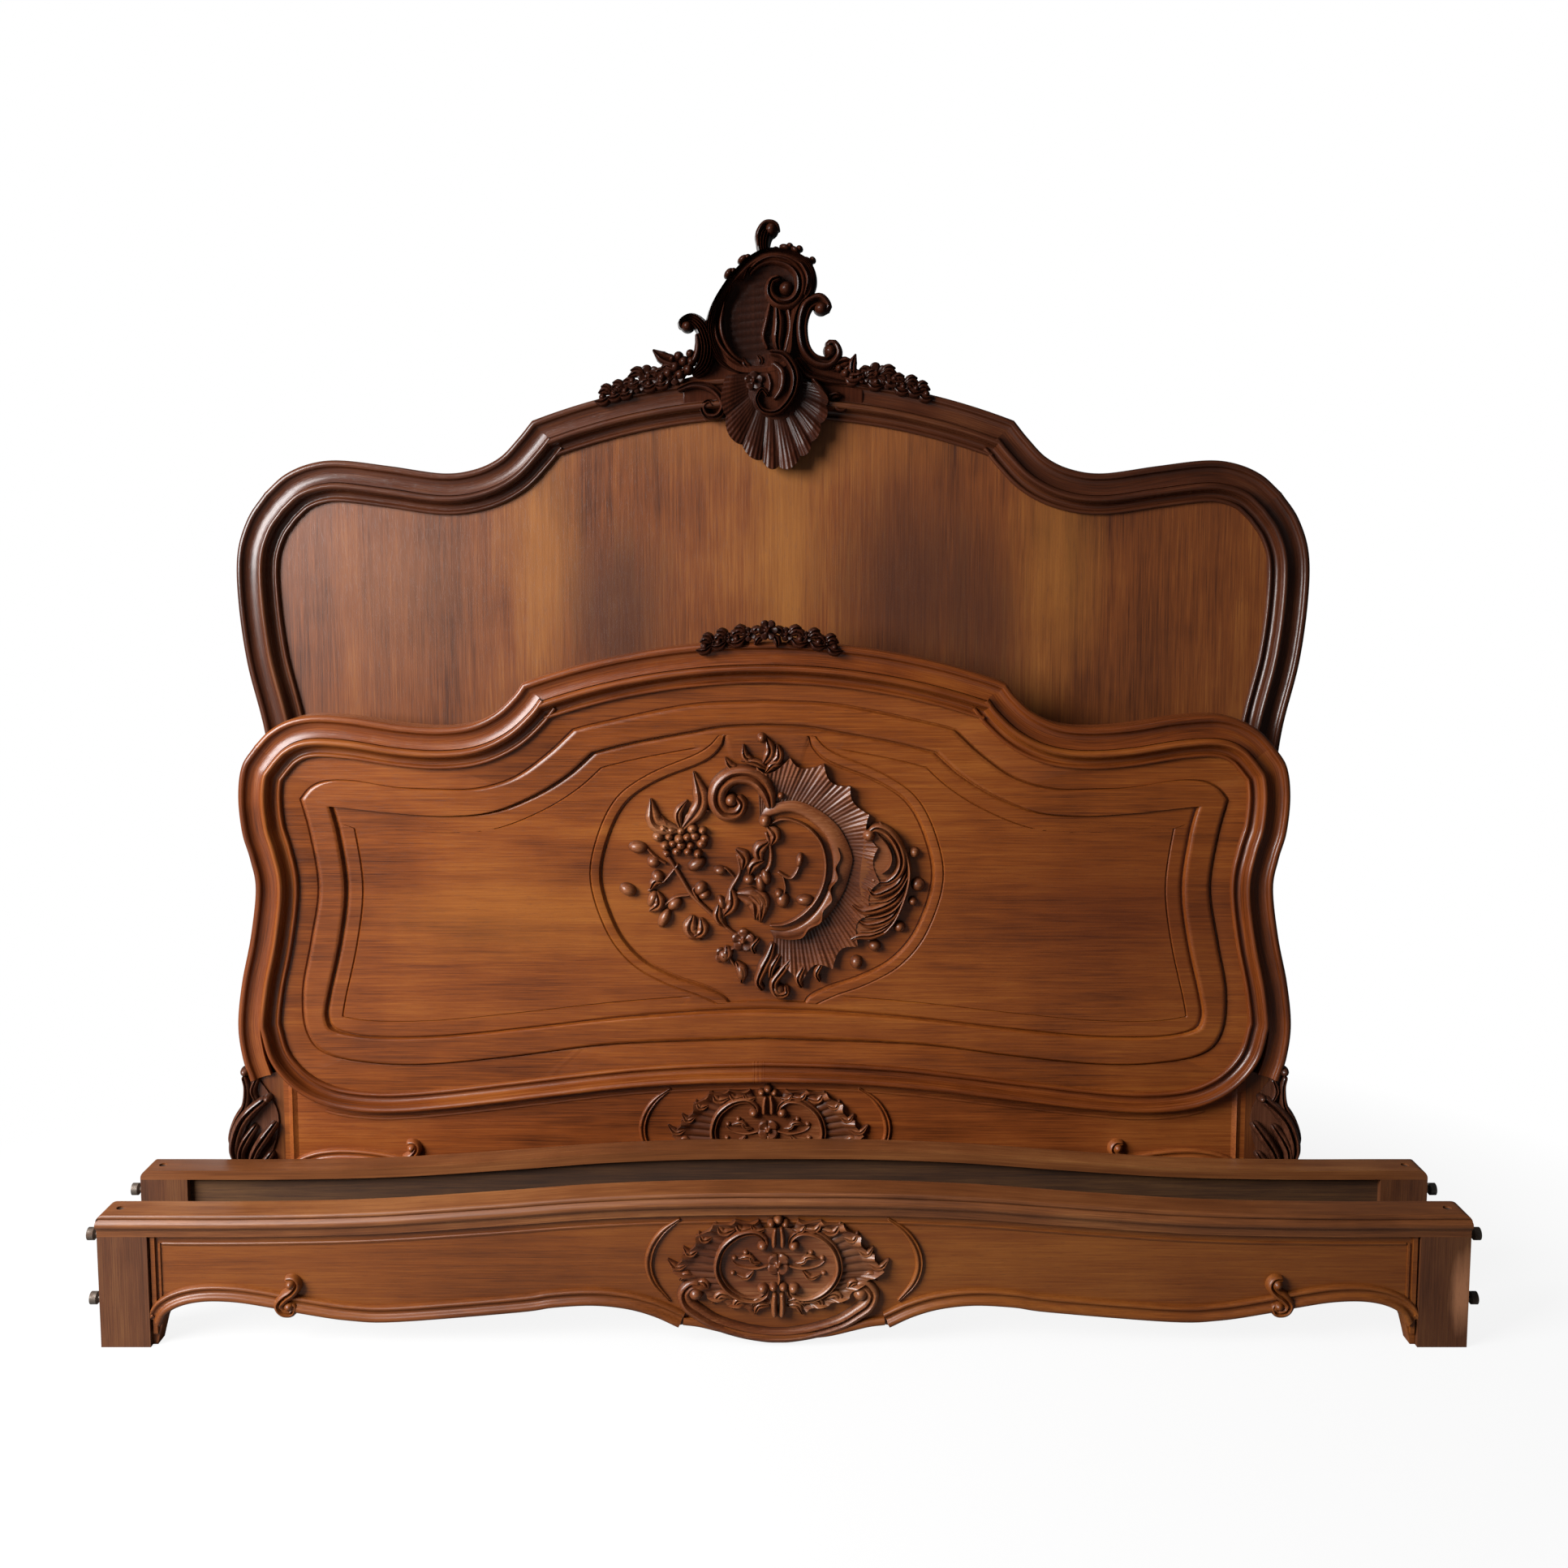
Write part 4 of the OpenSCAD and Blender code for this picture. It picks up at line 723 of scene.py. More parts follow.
# The footboard's panel: a raised band between two cusped outlines, incised lines and a sunk oval.
# Each outline is a half, from the middle of its foot round to the middle of its head
FIELD_OUT = cusped(
    [(0, 367), (229, 358), (381, 339), (507, 326), (596, 326), (677, 341), (708, 377), (712, 442),
     (697, 519), (683, 603), (693, 684), (707, 741)],
    [(691, 759), (666, 769), (622, 769), (560, 759), (499, 756), (437, 757), (380, 774), (330, 809),
     (289, 847)],
    [(249, 857), (113, 884), (0, 890)],
)
FIELD_IN = cusped(
    [(0, 410), (91, 407), (229, 397), (380, 380), (506, 368), (607, 367), (664, 377), (678, 397),
     (675, 429), (654, 519), (643, 603), (652, 684), (663, 731)],
    [(623, 726), (549, 718), (475, 715), (412, 722), (350, 747), (300, 778), (261, 813)],
    [(200, 828), (114, 844), (63, 853), (0, 856)],
)
OVAL_MIDDLE = np.array([4, 618])
OVAL = np.vstack([
    [(64, 223)], smooth([(64, 223), (72, 202), (98, 180), (167, 152), (216, 118), (245, 62), (256, -4),
                         (232, -80), (194, -128), (144, -156), (98, -172), (64, -190), (56, -211)], 6)[1:]
])
OVAL = OVAL_MIDDLE + np.vstack([OVAL, OVAL[::-1] * (-1, 1)])[::-1]
BAND_PROUD, OVAL_SUNK, INCISED_IN, OVAL_LINE_OUT = 5, 5, 26, 15
# Least room between the two lines and inside the band, and half the width of the oval's open ends
LINES_APART, LINE_ROOM, INCISED_ROOM, OPEN_HALF = 4.4, 12, 11, 67


def reach_from(centre, outline, turns):
    """How far an outline lies from the centre along each of the turns, for outlines seen whole
    from the centre: its own angles and distances, read off at the turns wanted."""
    away = outline - centre
    a = np.unwrap(np.arctan2(away[:, 1], away[:, 0]))
    r = np.hypot(*away.T)
    if a[-1] < a[0]:
        a, r = a[::-1], r[::-1]
    order = np.argsort(a)
    a, r = a[order], r[order]
    a, r = np.concatenate([a - 2 * np.pi, a, a + 2 * np.pi]), np.tile(r, 3)
    return np.interp(turns, a, r)


def foot_panel():
    """The panel as rings of the same turns about the oval's middle, at the distances of the
    outlines and of steps beside them; each ring has its own y."""
    field_out, field_in = loop(FIELD_OUT), loop(FIELD_IN)
    dense = evenly(np.vstack([field_out, field_out[:1]]), 1501)[:-1] - OVAL_MIDDLE
    turns = np.sort(np.mod(np.arctan2(dense[:, 1], dense[:, 0]), 2 * np.pi))

    def at(outline, inward=0.0):
        line = outline + inward * mitres(outline, closed=True) if inward else outline
        return reach_from(OVAL_MIDDLE, line, turns)

    rim = at(foot_ring, 2)
    out, inner = at(field_out), at(field_in)
    incised = at(field_in, INCISED_IN)
    recess = at(OVAL[::-1])
    line = np.minimum(recess + OVAL_LINE_OUT, inner - LINE_ROOM)
    incised = np.minimum(np.maximum(incised, line + LINES_APART), inner - INCISED_ROOM)
    deep = np.clip((incised - line - LINES_APART) / 8, 0, 1)
    across, up = recess * np.cos(turns), recess * np.sin(turns)
    open_end = np.clip((OPEN_HALF - np.abs(across)) / 5, 0, 1) * (np.abs(up) > 0.93 * np.abs(up).max())
    step = OVAL_SUNK * (1 - open_end)
    face = -BAND_PROUD
    cut = 2 * np.clip((line - recess - 6) / 6, 0, 1)
    ring_list = [(rim, 12), (rim, 0), (out + 6, 0), (out + 4.4, 0.5), (out + 3, 2.6), (out + 1.8, 2.8),
                 (out + 0.4, -0.4), (out - 1, face + 1.8), (out - 3.4, face + 0.5), (out - 6, face),
                 (out - 7, face), (inner + 8, face), (inner + 7, face), (inner + 4.4, face + 0.4),
                 (inner + 2.4, face + 1.6), (inner + 0.8, 1.5), (inner - 0.4, 3.6), (inner - 1.6, 3.8),
                 (inner - 3, 1.8), (inner - 5.4, 0.5), (inner - 8.5, 0), (inner - 9.5, 0),
                 (incised + 2, 0), (incised, 2.2 * deep), (incised - 2, 0), (line + 1.9, 0), (line, cut),
                 (line - 1.9, 0), (recess + 3.4, 0), (recess + 2, 0.1 * step), (recess - 0.4, 0.7 * step),
                 (recess - 1.4, 1.35 * step), (recess - 2.6, 1.35 * step), (recess - 4.4, step),
                 (0.93 * recess - 4, OVAL_SUNK), (0.6 * recess, OVAL_SUNK), (0.2 * recess, OVAL_SUNK),
                 (np.full(len(turns), 3.0), OVAL_SUNK)]
    reach = np.stack([r for r, _ in ring_list])
    gaps = 0.1 * np.arange(len(reach))[:, None]
    reach = np.minimum.accumulate(reach + gaps, axis=0) - gaps
    flat = OVAL_MIDDLE + reach[..., None] * np.stack([np.cos(turns), np.sin(turns)], -1)
    piece = Piece("foot")
    y = np.stack([np.broadcast_to(y, turns.shape) for _, y in ring_list])
    piece.skin(raised(flat, y), point_ends=True)
    stand_for(piece, "foot_panel", "fielded", panel_warm, angle=28)


foot_panel()


# Lower edges of the rails and of the footboard, from the end to the middle; span is half the clear length
def scallops(span):
    return smooth([
        (span - 14, 30), (span - 24, 48), (span - 46, 60), (span - 78, 66), (span - 120, 65),
        (span - 165, 58), (span - 215, 48), (span - 280, 38), (span - 350, 36),
        (375, 50), (325, 57), (270, 60), (222, 55), (184, 44), (150, 28)
    ], 6)


MIDDLE_LOBE = joined(
    [(150, 28), (138, 30), (120, 30)], smooth([(120, 30), (92, 21), (62, 14), (30, 11), (0, 10)], 5)
)
EDGE_SECTION = profile(
    [(0.4, 2)],
    [(0.4, -6), (1.6, -8.6), (4.6, -10), (8, -9.2), (10, -7)],
    [(10.6, -6), (12.6, -4.6), (15.4, -4.8), (17, -6)],
    [(17.4, -6.6), (19, -7.6), (21, -7.4), (22.6, -5.4), (23.4, -2)],
    end=[(23.4, 2)],
)
LOBE_SECTION = profile(
    [(0.4, 2)], [(0.4, -5), (1.6, -7.4), (4.6, -8.4), (8, -7.6), (10.4, -5), (11.4, -2)], end=[(11.4, 2)]
)


# Middle of each S-scroll: in from the edge's end, and up
SCROLL_IN, SCROLL_UP = 195, 75


def lower_edge(span):
    return whole(joined([(span, 0), (span - 7, 0), (span - 11, 16)], scallops(span), MIDDLE_LOBE))


def edge_moulding(board, node, span, low, finish):
    """The thick rounded edge with its two S-scrolls, the lobe in the middle and the crescents."""
    piece = Piece(board)
    path = scallops(span)[::-1] + (0, low)
    for side in (1, -1):
        line = path if side > 0 else mirrored(path)
        ways = mitres(line)
        end = -1 if side > 0 else 0
        ways[end] = (0.5 * side, 0.85)
        piece.skin(carried(line, EDGE_SECTION, ways=ways), grain=run_grain(line, EDGE_SECTION))
        x, z = span - SCROLL_IN, low + SCROLL_UP
        scroll = [(-4, 24), (8, 24), (13, 15), (6, 5), (-4, -2), (-12, -12), (-8, -22), (4, -25),
                  (9, -17), (3, -12)]
        rod(piece, [(side * (x - dx), z + dz) for dx, dz in scroll], [4, 8, 9, 8, 4],
            [10, 14, 15, 14, 10], VEINED)
        bead(piece, (side * (x - 5), z + 17), 8, 8, 15.5)
        bead(piece, (side * (x - 2), z - 15), 8, 7, 15)
        crescent = [(146, 186), (170, 168), (186, 144), (191, 118), (183, 92), (161, 65)]
        rod(piece, [(side * dx, low + dz) for dx, dz in crescent], [2, 5, 6, 5, 2], [4, 6, 6, 6, 4], TWIN)
    lobe = smooth(whole([(-143, 31), (-120, 28), (-92, 21), (-62, 14), (-30, 11), (0, 10)]), 5) + (0, low)
    piece.skin(carried(lobe, LOBE_SECTION), grain=run_grain(lobe, LOBE_SECTION))
    stand_for(piece, node, "carved", finish, angle=50)


RAIL_HALF, BLOCK, RAIL_TOP, CAMBER = 965, 70, 195, 32
RAIL_SPAN = RAIL_HALF - BLOCK
CAP_LINE = whole(smooth([
    (RAIL_HALF, RAIL_TOP), (RAIL_SPAN, RAIL_TOP), (RAIL_HALF - 209, RAIL_TOP),
    (RAIL_HALF - 380, RAIL_TOP + 0.12 * CAMBER), (RAIL_HALF - 550, RAIL_TOP + 0.46 * CAMBER),
    (270, RAIL_TOP + 0.8 * CAMBER), (130, RAIL_TOP + 0.97 * CAMBER), (0, RAIL_TOP + CAMBER)
], 12))
CAP_SECTION = profile(
    [(0, 36)],
    [(0, -6), (0.6, -8.6), (2.6, -10.6), (5, -10.8), (7, -9.4)],
    [(7.8, -9.2), (10, -11.4), (13, -13.6), (17, -13.8), (20, -12)],
    [(21, -11), (22.4, -9.2), (26, -8.4), (33, -8)],
    end=[(33, 0), (14, 0), (14, 36)],
)
END_ROUND, CAP_DEEP, BOARD_THICK, LINE_DOWN = 12, 14, 24, 44
KEY_RADIUS, KEY_IN, KEY_Y, KEY_DOWN, KEY_UP = 6, 26, 14, 60.0, 20.0
# Upright lines beside the end blocks: their two edges in from the block, how proud, and heights
UPRIGHTS = ((3, 9, 4, (18, 160)), (13, 16, 2, (62, 150)))


def rail(board):
    """Board, cap, edge moulding and face lines of one side rail."""
    face = Piece(board)
    under = CAP_LINE + CAP_DEEP * mitres(CAP_LINE)
    under = under[np.abs(under[:, 0]) < RAIL_SPAN]
    top = np.vstack([[(RAIL_SPAN, under[0, 1])], under, [(-RAIL_SPAN, under[-1, 1])]])
    plank(face, np.vstack([lower_edge(RAIL_SPAN), top[::-1]]), 0, BOARD_THICK, 1.0)
    shadow_line = CAP_LINE + LINE_DOWN * mitres(CAP_LINE)
    shadow_line = shadow_line[np.abs(shadow_line[:, 0]) < RAIL_SPAN - CAP_DEEP]
    face.skin(carried(shadow_line, [(0, 1), (0.2, -1.2), (1.4, -2), (4, -1.4), (6, 1)]))
    for side in (-1, 1):
        for start, end, proud, heights in UPRIGHTS:
            face.box(sorted((side * (RAIL_SPAN - start), side * (RAIL_SPAN - end))), (-proud, 1), heights)
    # The inside faces take the darker finish of painted shade
    stand_for(face, board + "_board", "shaped", rail_warm, backing=inside_shaded)
    cap = Piece(board)
    ends = np.array([RAIL_HALF - END_ROUND * (1 - math.sin(a)) for a in np.radians(np.linspace(4, 90, 7))])
    straight = CAP_LINE[np.abs(CAP_LINE[:, 0]) < RAIL_HALF - END_ROUND - 1]
    x = np.concatenate([ends[::-1] - 0.02, straight[:, 0], -ends + 0.02])
    line = np.stack([x, np.interp(x, CAP_LINE[::-1, 0], CAP_LINE[::-1, 1])], -1)
    rows = carried(line, CAP_SECTION)
    past = np.clip(np.abs(x) - (RAIL_HALF - END_ROUND), 0, END_ROUND)
    round_top = RAIL_TOP - END_ROUND + np.sqrt(END_ROUND ** 2 - past ** 2)
    rows[..., 2] = np.where(past[:, None] > 0, np.minimum(rows[..., 2], round_top[:, None]), rows[..., 2])
    cap.skin(rows, grain=run_grain(line, CAP_SECTION))
    key_holes = Piece(board)
    for side in (-1, 1):
        hole = oval((side * (RAIL_HALF - KEY_IN), KEY_Y), KEY_RADIUS, KEY_RADIUS, count=32)
        levels = (RAIL_TOP - KEY_DOWN, RAIL_TOP + KEY_UP)
        key_holes.skin(np.stack([np.column_stack([hole, np.full(len(hole), z)]) for z in levels]))
    stand_for(cap, board + "_cap", "moulded", cap_worn, angle=45, cutter=key_holes)
    edge_moulding(board, board + "_moulding", RAIL_SPAN, 0, rail_warm)


rail("front_rail")
rail("back_rail")

# The footboard's lower rail and legs
APRON, RIDGE_AT, LINE_UNDER, LINE_POINTS = 100, 735, 30, 40
SIDE_HIGH, SWEEP_HIGH = 340, 334
side_run = foot_inner[:FOOT_TURN]
sweep_down = FOOT_SWEEP[::-1]
top_half = np.vstack([side_run[side_run[:, 1] < SIDE_HIGH], sweep_down[sweep_down[:, 1] < SWEEP_HIGH]])
low = lower_edge(side_run[0, 0]) + (0, APRON)
apron = Piece("foot")
plank(apron, np.vstack([low, whole(top_half)[::-1]]), 0, BACK, 1.0)
for side in (-1, 1):
    ridge = [(side * RIDGE_AT, z) for z in (APRON + 20, 200, 292)]
    rod(apron, ridge, [7, 7, 7], [4, 4, 4], RIDGE)
under_ring = (FOOT_SWEEP - LINE_UNDER * mitres(FOOT_SWEEP))[:LINE_POINTS]
for line in (under_ring, mirrored(under_ring)):
    apron.skin(carried(line, [(0, 1), (0.3, -1.4), (1.6, -2), (4, -1.4), (5, 1)]))
stand_for(apron, "foot_bottom_rail", "shaped", board_warm)
edge_moulding("foot", "foot_apron_moulding", side_run[0, 0], APRON, board_warm)
LEG = joined(
    smooth([(798, 300), (804, 255), (812, 210), (813, 170), (806, 120), (798, 70), (802, 26), (810, 0)]),
    [(810, 0), (758, 0)],
    smooth([(758, 0), (762, 60), (757, 118)]),
    [(757, 118), (748, APRON), (748, 300), (752, 392), (782, 392), (790, 340)],
)
for side, name in SIDES:
    leg = Piece("foot")
    plank(leg, LEG * (side, 1), 0, BACK, 1.5)
    stand_for(leg, "foot_leg_" + name, "sawn", leg_warm)


# Crest of the headboard
BLOCK_FACE, BLOCK_BACK = 8, 24
block = Piece("head")
block_edge = smooth([
    (-140, 1384), (-116, 1392), (-103, 1412), (-97, 1440), (-95, 1465), (-89, 1488), (-73, 1519),
    (-51, 1547), (-26, 1569), (-17, 1580), (-4, 1581), (6, 1574), (33, 1568), (53, 1554), (61, 1532),
    (56, 1510), (45, 1492), (42, 1464), (46, 1434), (60, 1412), (84, 1402), (110, 1394), (140, 1384)
], 5)
plank(block, np.vstack([block_edge, [(140, 1340), (-140, 1340)]]), -BLOCK_FACE, BLOCK_BACK, 2.5)
stand_for(block, "head_crest_block", "cut", crest_dark, "dark_walnut")

shell = Piece("head", BLOCK_FACE)
HOLLOW_MIDDLE = np.array([-18, 1478])
hollow_edge = smooth(
    [(14, 1398), (27, 1424), (31, 1466), (40, 1494), (56, 1512), (60, 1532), (52, 1553), (30, 1567),
     (0, 1573), (-28, 1566), (-54, 1544), (-76, 1517), (-91, 1486), (-94, 1458), (-87, 1428),
     (-68, 1402), (-40, 1392)], 6, closed=True
)


def hollow(out, u, x, z):
    """A spoon-shaped hollow with ribs across it."""
    wall = np.clip((out - 0.62) / 0.3, 0, 1) ** 2
    ribs = np.abs(np.sin((z - 0.12 * x) * np.pi / 12)) ** 0.8
    return 3 + 15 * wall + 2.2 * ribs * np.clip((0.8 - out) / 0.25, 0, 1)


mound(shell, hollow_edge, HOLLOW_MIDDLE, hollow, 40)
rim = [(41, 1496), (57, 1510), (62, 1532), (54, 1555), (33, 1569), (0, 1576), (-26, 1569), (-53, 1547),
       (-75, 1518), (-90, 1487), (-95, 1458), (-89, 1429), (-75, 1408), (-50, 1393)]
rods(shell,
     (rim, [3, 6, 7, 6, 6, 6, 7, 9, 11, 8, 3], [16, 22, 26, 24, 22, 22, 23, 26, 27, 22, 12], FLUTED),
     ([(-74, 1500), (-80, 1466), (-74, 1438), (-58, 1416), (-34, 1404)], [2, 5, 6, 3], [18, 24, 22, 14]),
     ([(-89, 1474), (-86, 1444), (-70, 1419), (-44, 1400)], [2, 4, 4, 2], [20, 28, 26, 16]))
curl = [(12, 1536), (-2, 1530), (-5, 1512), (8, 1498), (28, 1498), (41, 1514), (41, 1538), (26, 1556),
        (0, 1563), (-22, 1556), (-38, 1541)]
rod(shell, curl, [6, 9, 11, 11, 10, 9, 6], [24, 25, 25, 25, 25, 23, 18], VEINED)
bead(shell, (20, 1520), 12, 12, 22)
rod(shell, [(48, 1508), (53, 1532), (44, 1553), (26, 1565)], [2, 4, 4, 2], [22, 27, 27, 20])
lip = [(-76, 1494), (-67, 1512), (-60, 1529), (-46, 1533), (-38, 1549), (-24, 1551)]
rods(shell,
     (lip, [2, 4, 3, 4, 2], [20, 22, 20, 22, 18], RIDGE),
     ([(-4, 1500), (-10, 1472), (-15, 1447), (-8, 1428)], [3, 5, 5, 3], [10, 15, 16, 12]),
     ([(6, 1498), (9, 1470), (7, 1440), (10, 1424)], [5, 10, 11, 6], [14, 20, 22, 14], VEINED),
     ([(22, 1496), (27, 1464), (21, 1432), (14, 1412)], [4, 6, 6, 4], [14, 18, 18, 12]))
for x, z, turn in ((-46, 1565, 35), (-68, 1544, 50), (34, 1578, -40), (19, 1582, -20), (54, 1561, -50)):
    bead(shell, (x, z), 10, 6, 17, turn, -2)
    bead(shell, (x + 7, z + 3), 6, 5, 16, turn, -2)
stand_for(shell, "head_crest_cartouche", "carved", crest_dark, "dark_walnut")

FINIAL_GROUND = 4
finial = Piece("head", FINIAL_GROUND)
rod(finial, [(-12, 1568), (-15, 1586), (-12, 1602), (-3, 1613)], [9, 11, 13, 12], [16, 22, 26, 24], FLUTED)
bead(finial, (-3, 1609), 12, 14, 27, -20)
rod(finial, [(-22, 1582), (-23, 1602), (-12, 1618), (4, 1617), (9, 1606)], [3, 5, 5, 5, 3],
    [16, 24, 27, 26, 18])
leaf(finial, (0, 1574), (10, 1582), 5, 14, 0.2)
stand_for(finial, "head_crest_finial", "carved", crest_dark, "dark_walnut")

# The fan below, with its petals, and the whorl and flower on it
FAN_GROUND = 17
ON_BLOCK = BLOCK_FACE - FAN_GROUND
fan = Piece("head", FAN_GROUND)
fan_in = [(-26, 1392), (-30, 1366), (-28, 1348), (-22, 1336), (-12, 1329), (0, 1325), (10, 1324),
          (19, 1327), (27, 1333), (33, 1342), (37, 1354), (39, 1366), (37, 1380)]
fan_out = [(-76, 1388), (-80, 1352), (-76, 1318), (-65, 1292), (-42, 1269), (-24, 1256), (-4, 1245),
           (17, 1242), (38, 1253), (57, 1273), (71, 1298), (84, 1328), (85, 1352), (66, 1376)]


# Shares of the way along at which the petals meet: a broad smooth one first, then narrower ones
PETAL_ENDS = [0, 0.18, 0.33, 0.44, 0.52, 0.63, 0.71, 0.8, 0.88, 1]


def lobes(along, sharp):
    """Humps between the petals' meeting lines."""
    return np.abs(np.sin(np.pi * np.interp(along, PETAL_ENDS, np.arange(len(PETAL_ENDS))))) ** sharp


def petals(along, over):
    """Petals that swell outward and turn down at their lips, with sharp valleys between."""
    swell = 4 + 14 * over ** 1.4 - 15 * np.clip(over - 0.76, 0, 1) ** 1.1
    fine = 0.7 * np.sin(2 * np.pi * 46 * along + 3 * over) * over
    return swell * (0.58 + 0.42 * lobes(along, 0.8)) + fine


def scallop(along):
    """Rounded lobes along the fan's edge."""
    return 0.89 + 0.11 * lobes(along, 0.6)


def button(out, u, x, z):
    """A low boss, highest in its middle."""
    return 9 - 5 * out ** 2


FAN_MIDDLE = (4, 1372)
band(fan, fan_in, fan_out, petals, 260, 22, scallop)
mound(fan, oval(FAN_MIDDLE, 44, 52, 10, 40), FAN_MIDDLE, button, 8)
whorl = [(-6, 1423), (18, 1417), (34, 1390), (30, 1358), (9, 1333), (-14, 1333), (-25, 1350), (-17, 1366),
         (-7, 1356)]
rods(fan,
     (whorl, [5, 8, 9, 8, 7, 6, 5, 4], [18, 24, 27, 26, 22, 20, 18], VEINED),
     ([(-2, 1408), (14, 1392), (13, 1368), (1, 1350)], [5, 8, 7, 4], [14, 21, 20, 14]),
     ([(-9, 1392), (-4, 1374), (-8, 1356)], [3, 4, 3], [12, 15, 12]))
blossom(fan, (-29, 1379), 15, 14, 5, 20, 4)
leaf(fan, (-30, 1398), (-46, 1416), 7, 14, 0.2, -4)
leaf(fan, (-20, 1400), (-25, 1420), 6, 14, -0.2, -4)
rods(fan,
     ([(34, 1415), (52, 1392), (80, 1383), (122, 1376)], [6, 7, 6, 3], [18, 16, 14, 10], TWIN, ON_BLOCK),
     ([(60, 1384), (78, 1362), (88, 1340)], [4, 5, 2], [16, 18, 12], ROUND, ON_BLOCK + 4))
volute = [(-148, 1366), (-124, 1374), (-100, 1371), (-84, 1359), (-77, 1342), (-85, 1327), (-101, 1326),
          (-109, 1339), (-100, 1349), (-91, 1342)]
rod(fan, volute, [4, 6, 7, 7, 6, 6, 5, 4], [12, 16, 18, 18, 17, 15, 15], TWIN, ON_BLOCK)
leaf(fan, (84, 1350), (108, 1357), 7, 12, 0.2, ON_BLOCK)
leaf(fan, (92, 1346), (120, 1342), 7, 12, -0.2, ON_BLOCK)
stand_for(fan, "head_crest_shell", "carved", crest_dark, "dark_walnut")

# Scrolls beside the cartouche
right = Piece("head", BLOCK_FACE - 2)
rod(right, [(72, 1487), (82, 1493), (71, 1504), (52, 1494), (44, 1466), (48, 1433), (63, 1413), (85, 1408),
            (97, 1422), (92, 1436), (83, 1429)],
    [8, 11, 11, 10, 10, 10, 11, 11, 8], [16, 22, 24, 21, 21, 21, 24, 22, 16], TWIN)
bead(right, (74, 1490), 12, 11, 23)
bead(right, (88, 1426), 11, 11, 23)
stand_for(right, "head_crest_scroll_right", "carved", crest_dark, "dark_walnut")

left = Piece("head", BLOCK_FACE - 2)
rod(left,
    [(-137, 1459), (-139, 1469), (-124, 1474), (-108, 1459), (-100, 1430), (-106, 1404), (-124, 1388)],
    [7, 10, 12, 13, 14, 13, 8], [16, 24, 27, 27, 25, 22, 14], FLUTED)
bead(left, (-132, 1463), 11, 10, 24)
rod(left, [(-118, 1452), (-116, 1434), (-120, 1416), (-132, 1402)], [3, 6, 6, 3], [16, 20, 20, 14])
stand_for(left, "head_crest_scroll_left", "carved", crest_dark, "dark_walnut")


def on_arch(x, over, crown, half, rise):
    """The point over an arch at x."""
    r = (half ** 2 + rise ** 2) / (2 * rise)
    return x, crown - r + math.sqrt(r ** 2 - x ** 2) + over


def spray(piece, stations, way, base, arch_sizes):
    """Flowers, buds and leaves along the top of an arch: x, height over it and radius."""
    line = [on_arch(x, -2, *arch_sizes) for x, _, _ in stations]
    rod(piece, line, [6, 9, 7, 4], [9, 12, 10, 7], FLUTED, base - 4)
    for x, over, r in stations:
        at = np.array(on_arch(x, over, *arch_sizes))
        if r > 0:
            blossom(piece, at, r, 12, 5, 30 * way, base)
        for near, (dx, dz), wide, bend in (((0.6, -6), (r + 22, -13), 8, -0.2),
                                           ((0.4, 0), (r + 12, 9), 7, 0.2),
                                           ((-0.4, 0), (-r - 9, 7), 7, -0.2),
                                           ((0.2, -2), (r + 16, -1), 7, 0.2)):
            leaf(piece, at + (way * near[0] * r, near[1]), at + (way * dx, dz), wide, 11, bend * way,
                 base)
        bead(piece, at + (way * (r + 9), -7), 6, 6, 12, base=base)


HEAD_ARCH, FOOT_ARCH = (1389, 375, 69), (983, 366, 63)
sprays = Piece("head")
spray(sprays, [(-150, 9, 14), (-171, 8, 12), (-191, 16, 18), (-209, 4, 11), (-226, 4, 11), (-247, 3, 8)],
      -1, 10, HEAD_ARCH)
spray(sprays, [(112, 9, 0), (140, 6, 10), (160, 14, 18), (180, 5, 12), (201, 6, 11), (221, 2, 7)],
      1, 10, HEAD_ARCH)
for x, z, r in (
    (-138, 1410, 9), (-151, 1402, 9), (-131, 1398, 9), (-146, 1418, 8), (-126, 1410, 8), (-162, 1392, 9),
    (-144, 1390, 9), (-128, 1422, 7), (-156, 1414, 6), (-172, 1386, 8), (112, 1392, 8), (102, 1400, 7),
):
    bead(sprays, (x, z), r, r, 17, base=8)
leaf(sprays, (-142, 1408), (-186, 1428), 11, 17, 0.1, 8)
leaf(sprays, (-140, 1402), (-172, 1408), 9, 15, 0.1, 10)
leaf(sprays, (-150, 1394), (-176, 1396), 9, 15, -0.2, 10)
leaf(sprays, (92, 1396), (126, 1410), 10, 16, 0.15, 8)
leaf(sprays, (108, 1388), (146, 1394), 10, 15, -0.15, 8)
leaf(sprays, (124, 1384), (128, 1422), 8, 16, 0.1, 8)
stand_for(sprays, "head_crest_sprays", "carved", crest_dark, "dark_walnut")

# Garland on the top of the footboard
garland = Piece("foot")
spray(garland, [(-22, 12, 11), (-52, 8, 8), (-76, 3, 5)], -1, 10, FOOT_ARCH)
spray(garland, [(34, 12, 11), (64, 9, 9), (92, 3, 5)], 1, 10, FOOT_ARCH)
blossom(garland, (6, 1001), 16, 16, 6, 0, 12)
leaf(garland, (14, 994), (20, 974), 7, 14, 0.15, 12)
leaf(garland, (0, 992), (-14, 978), 6, 12, -0.15, 12)
stand_for(garland, "foot_garland", "carved", crest_dark, "dark_walnut")


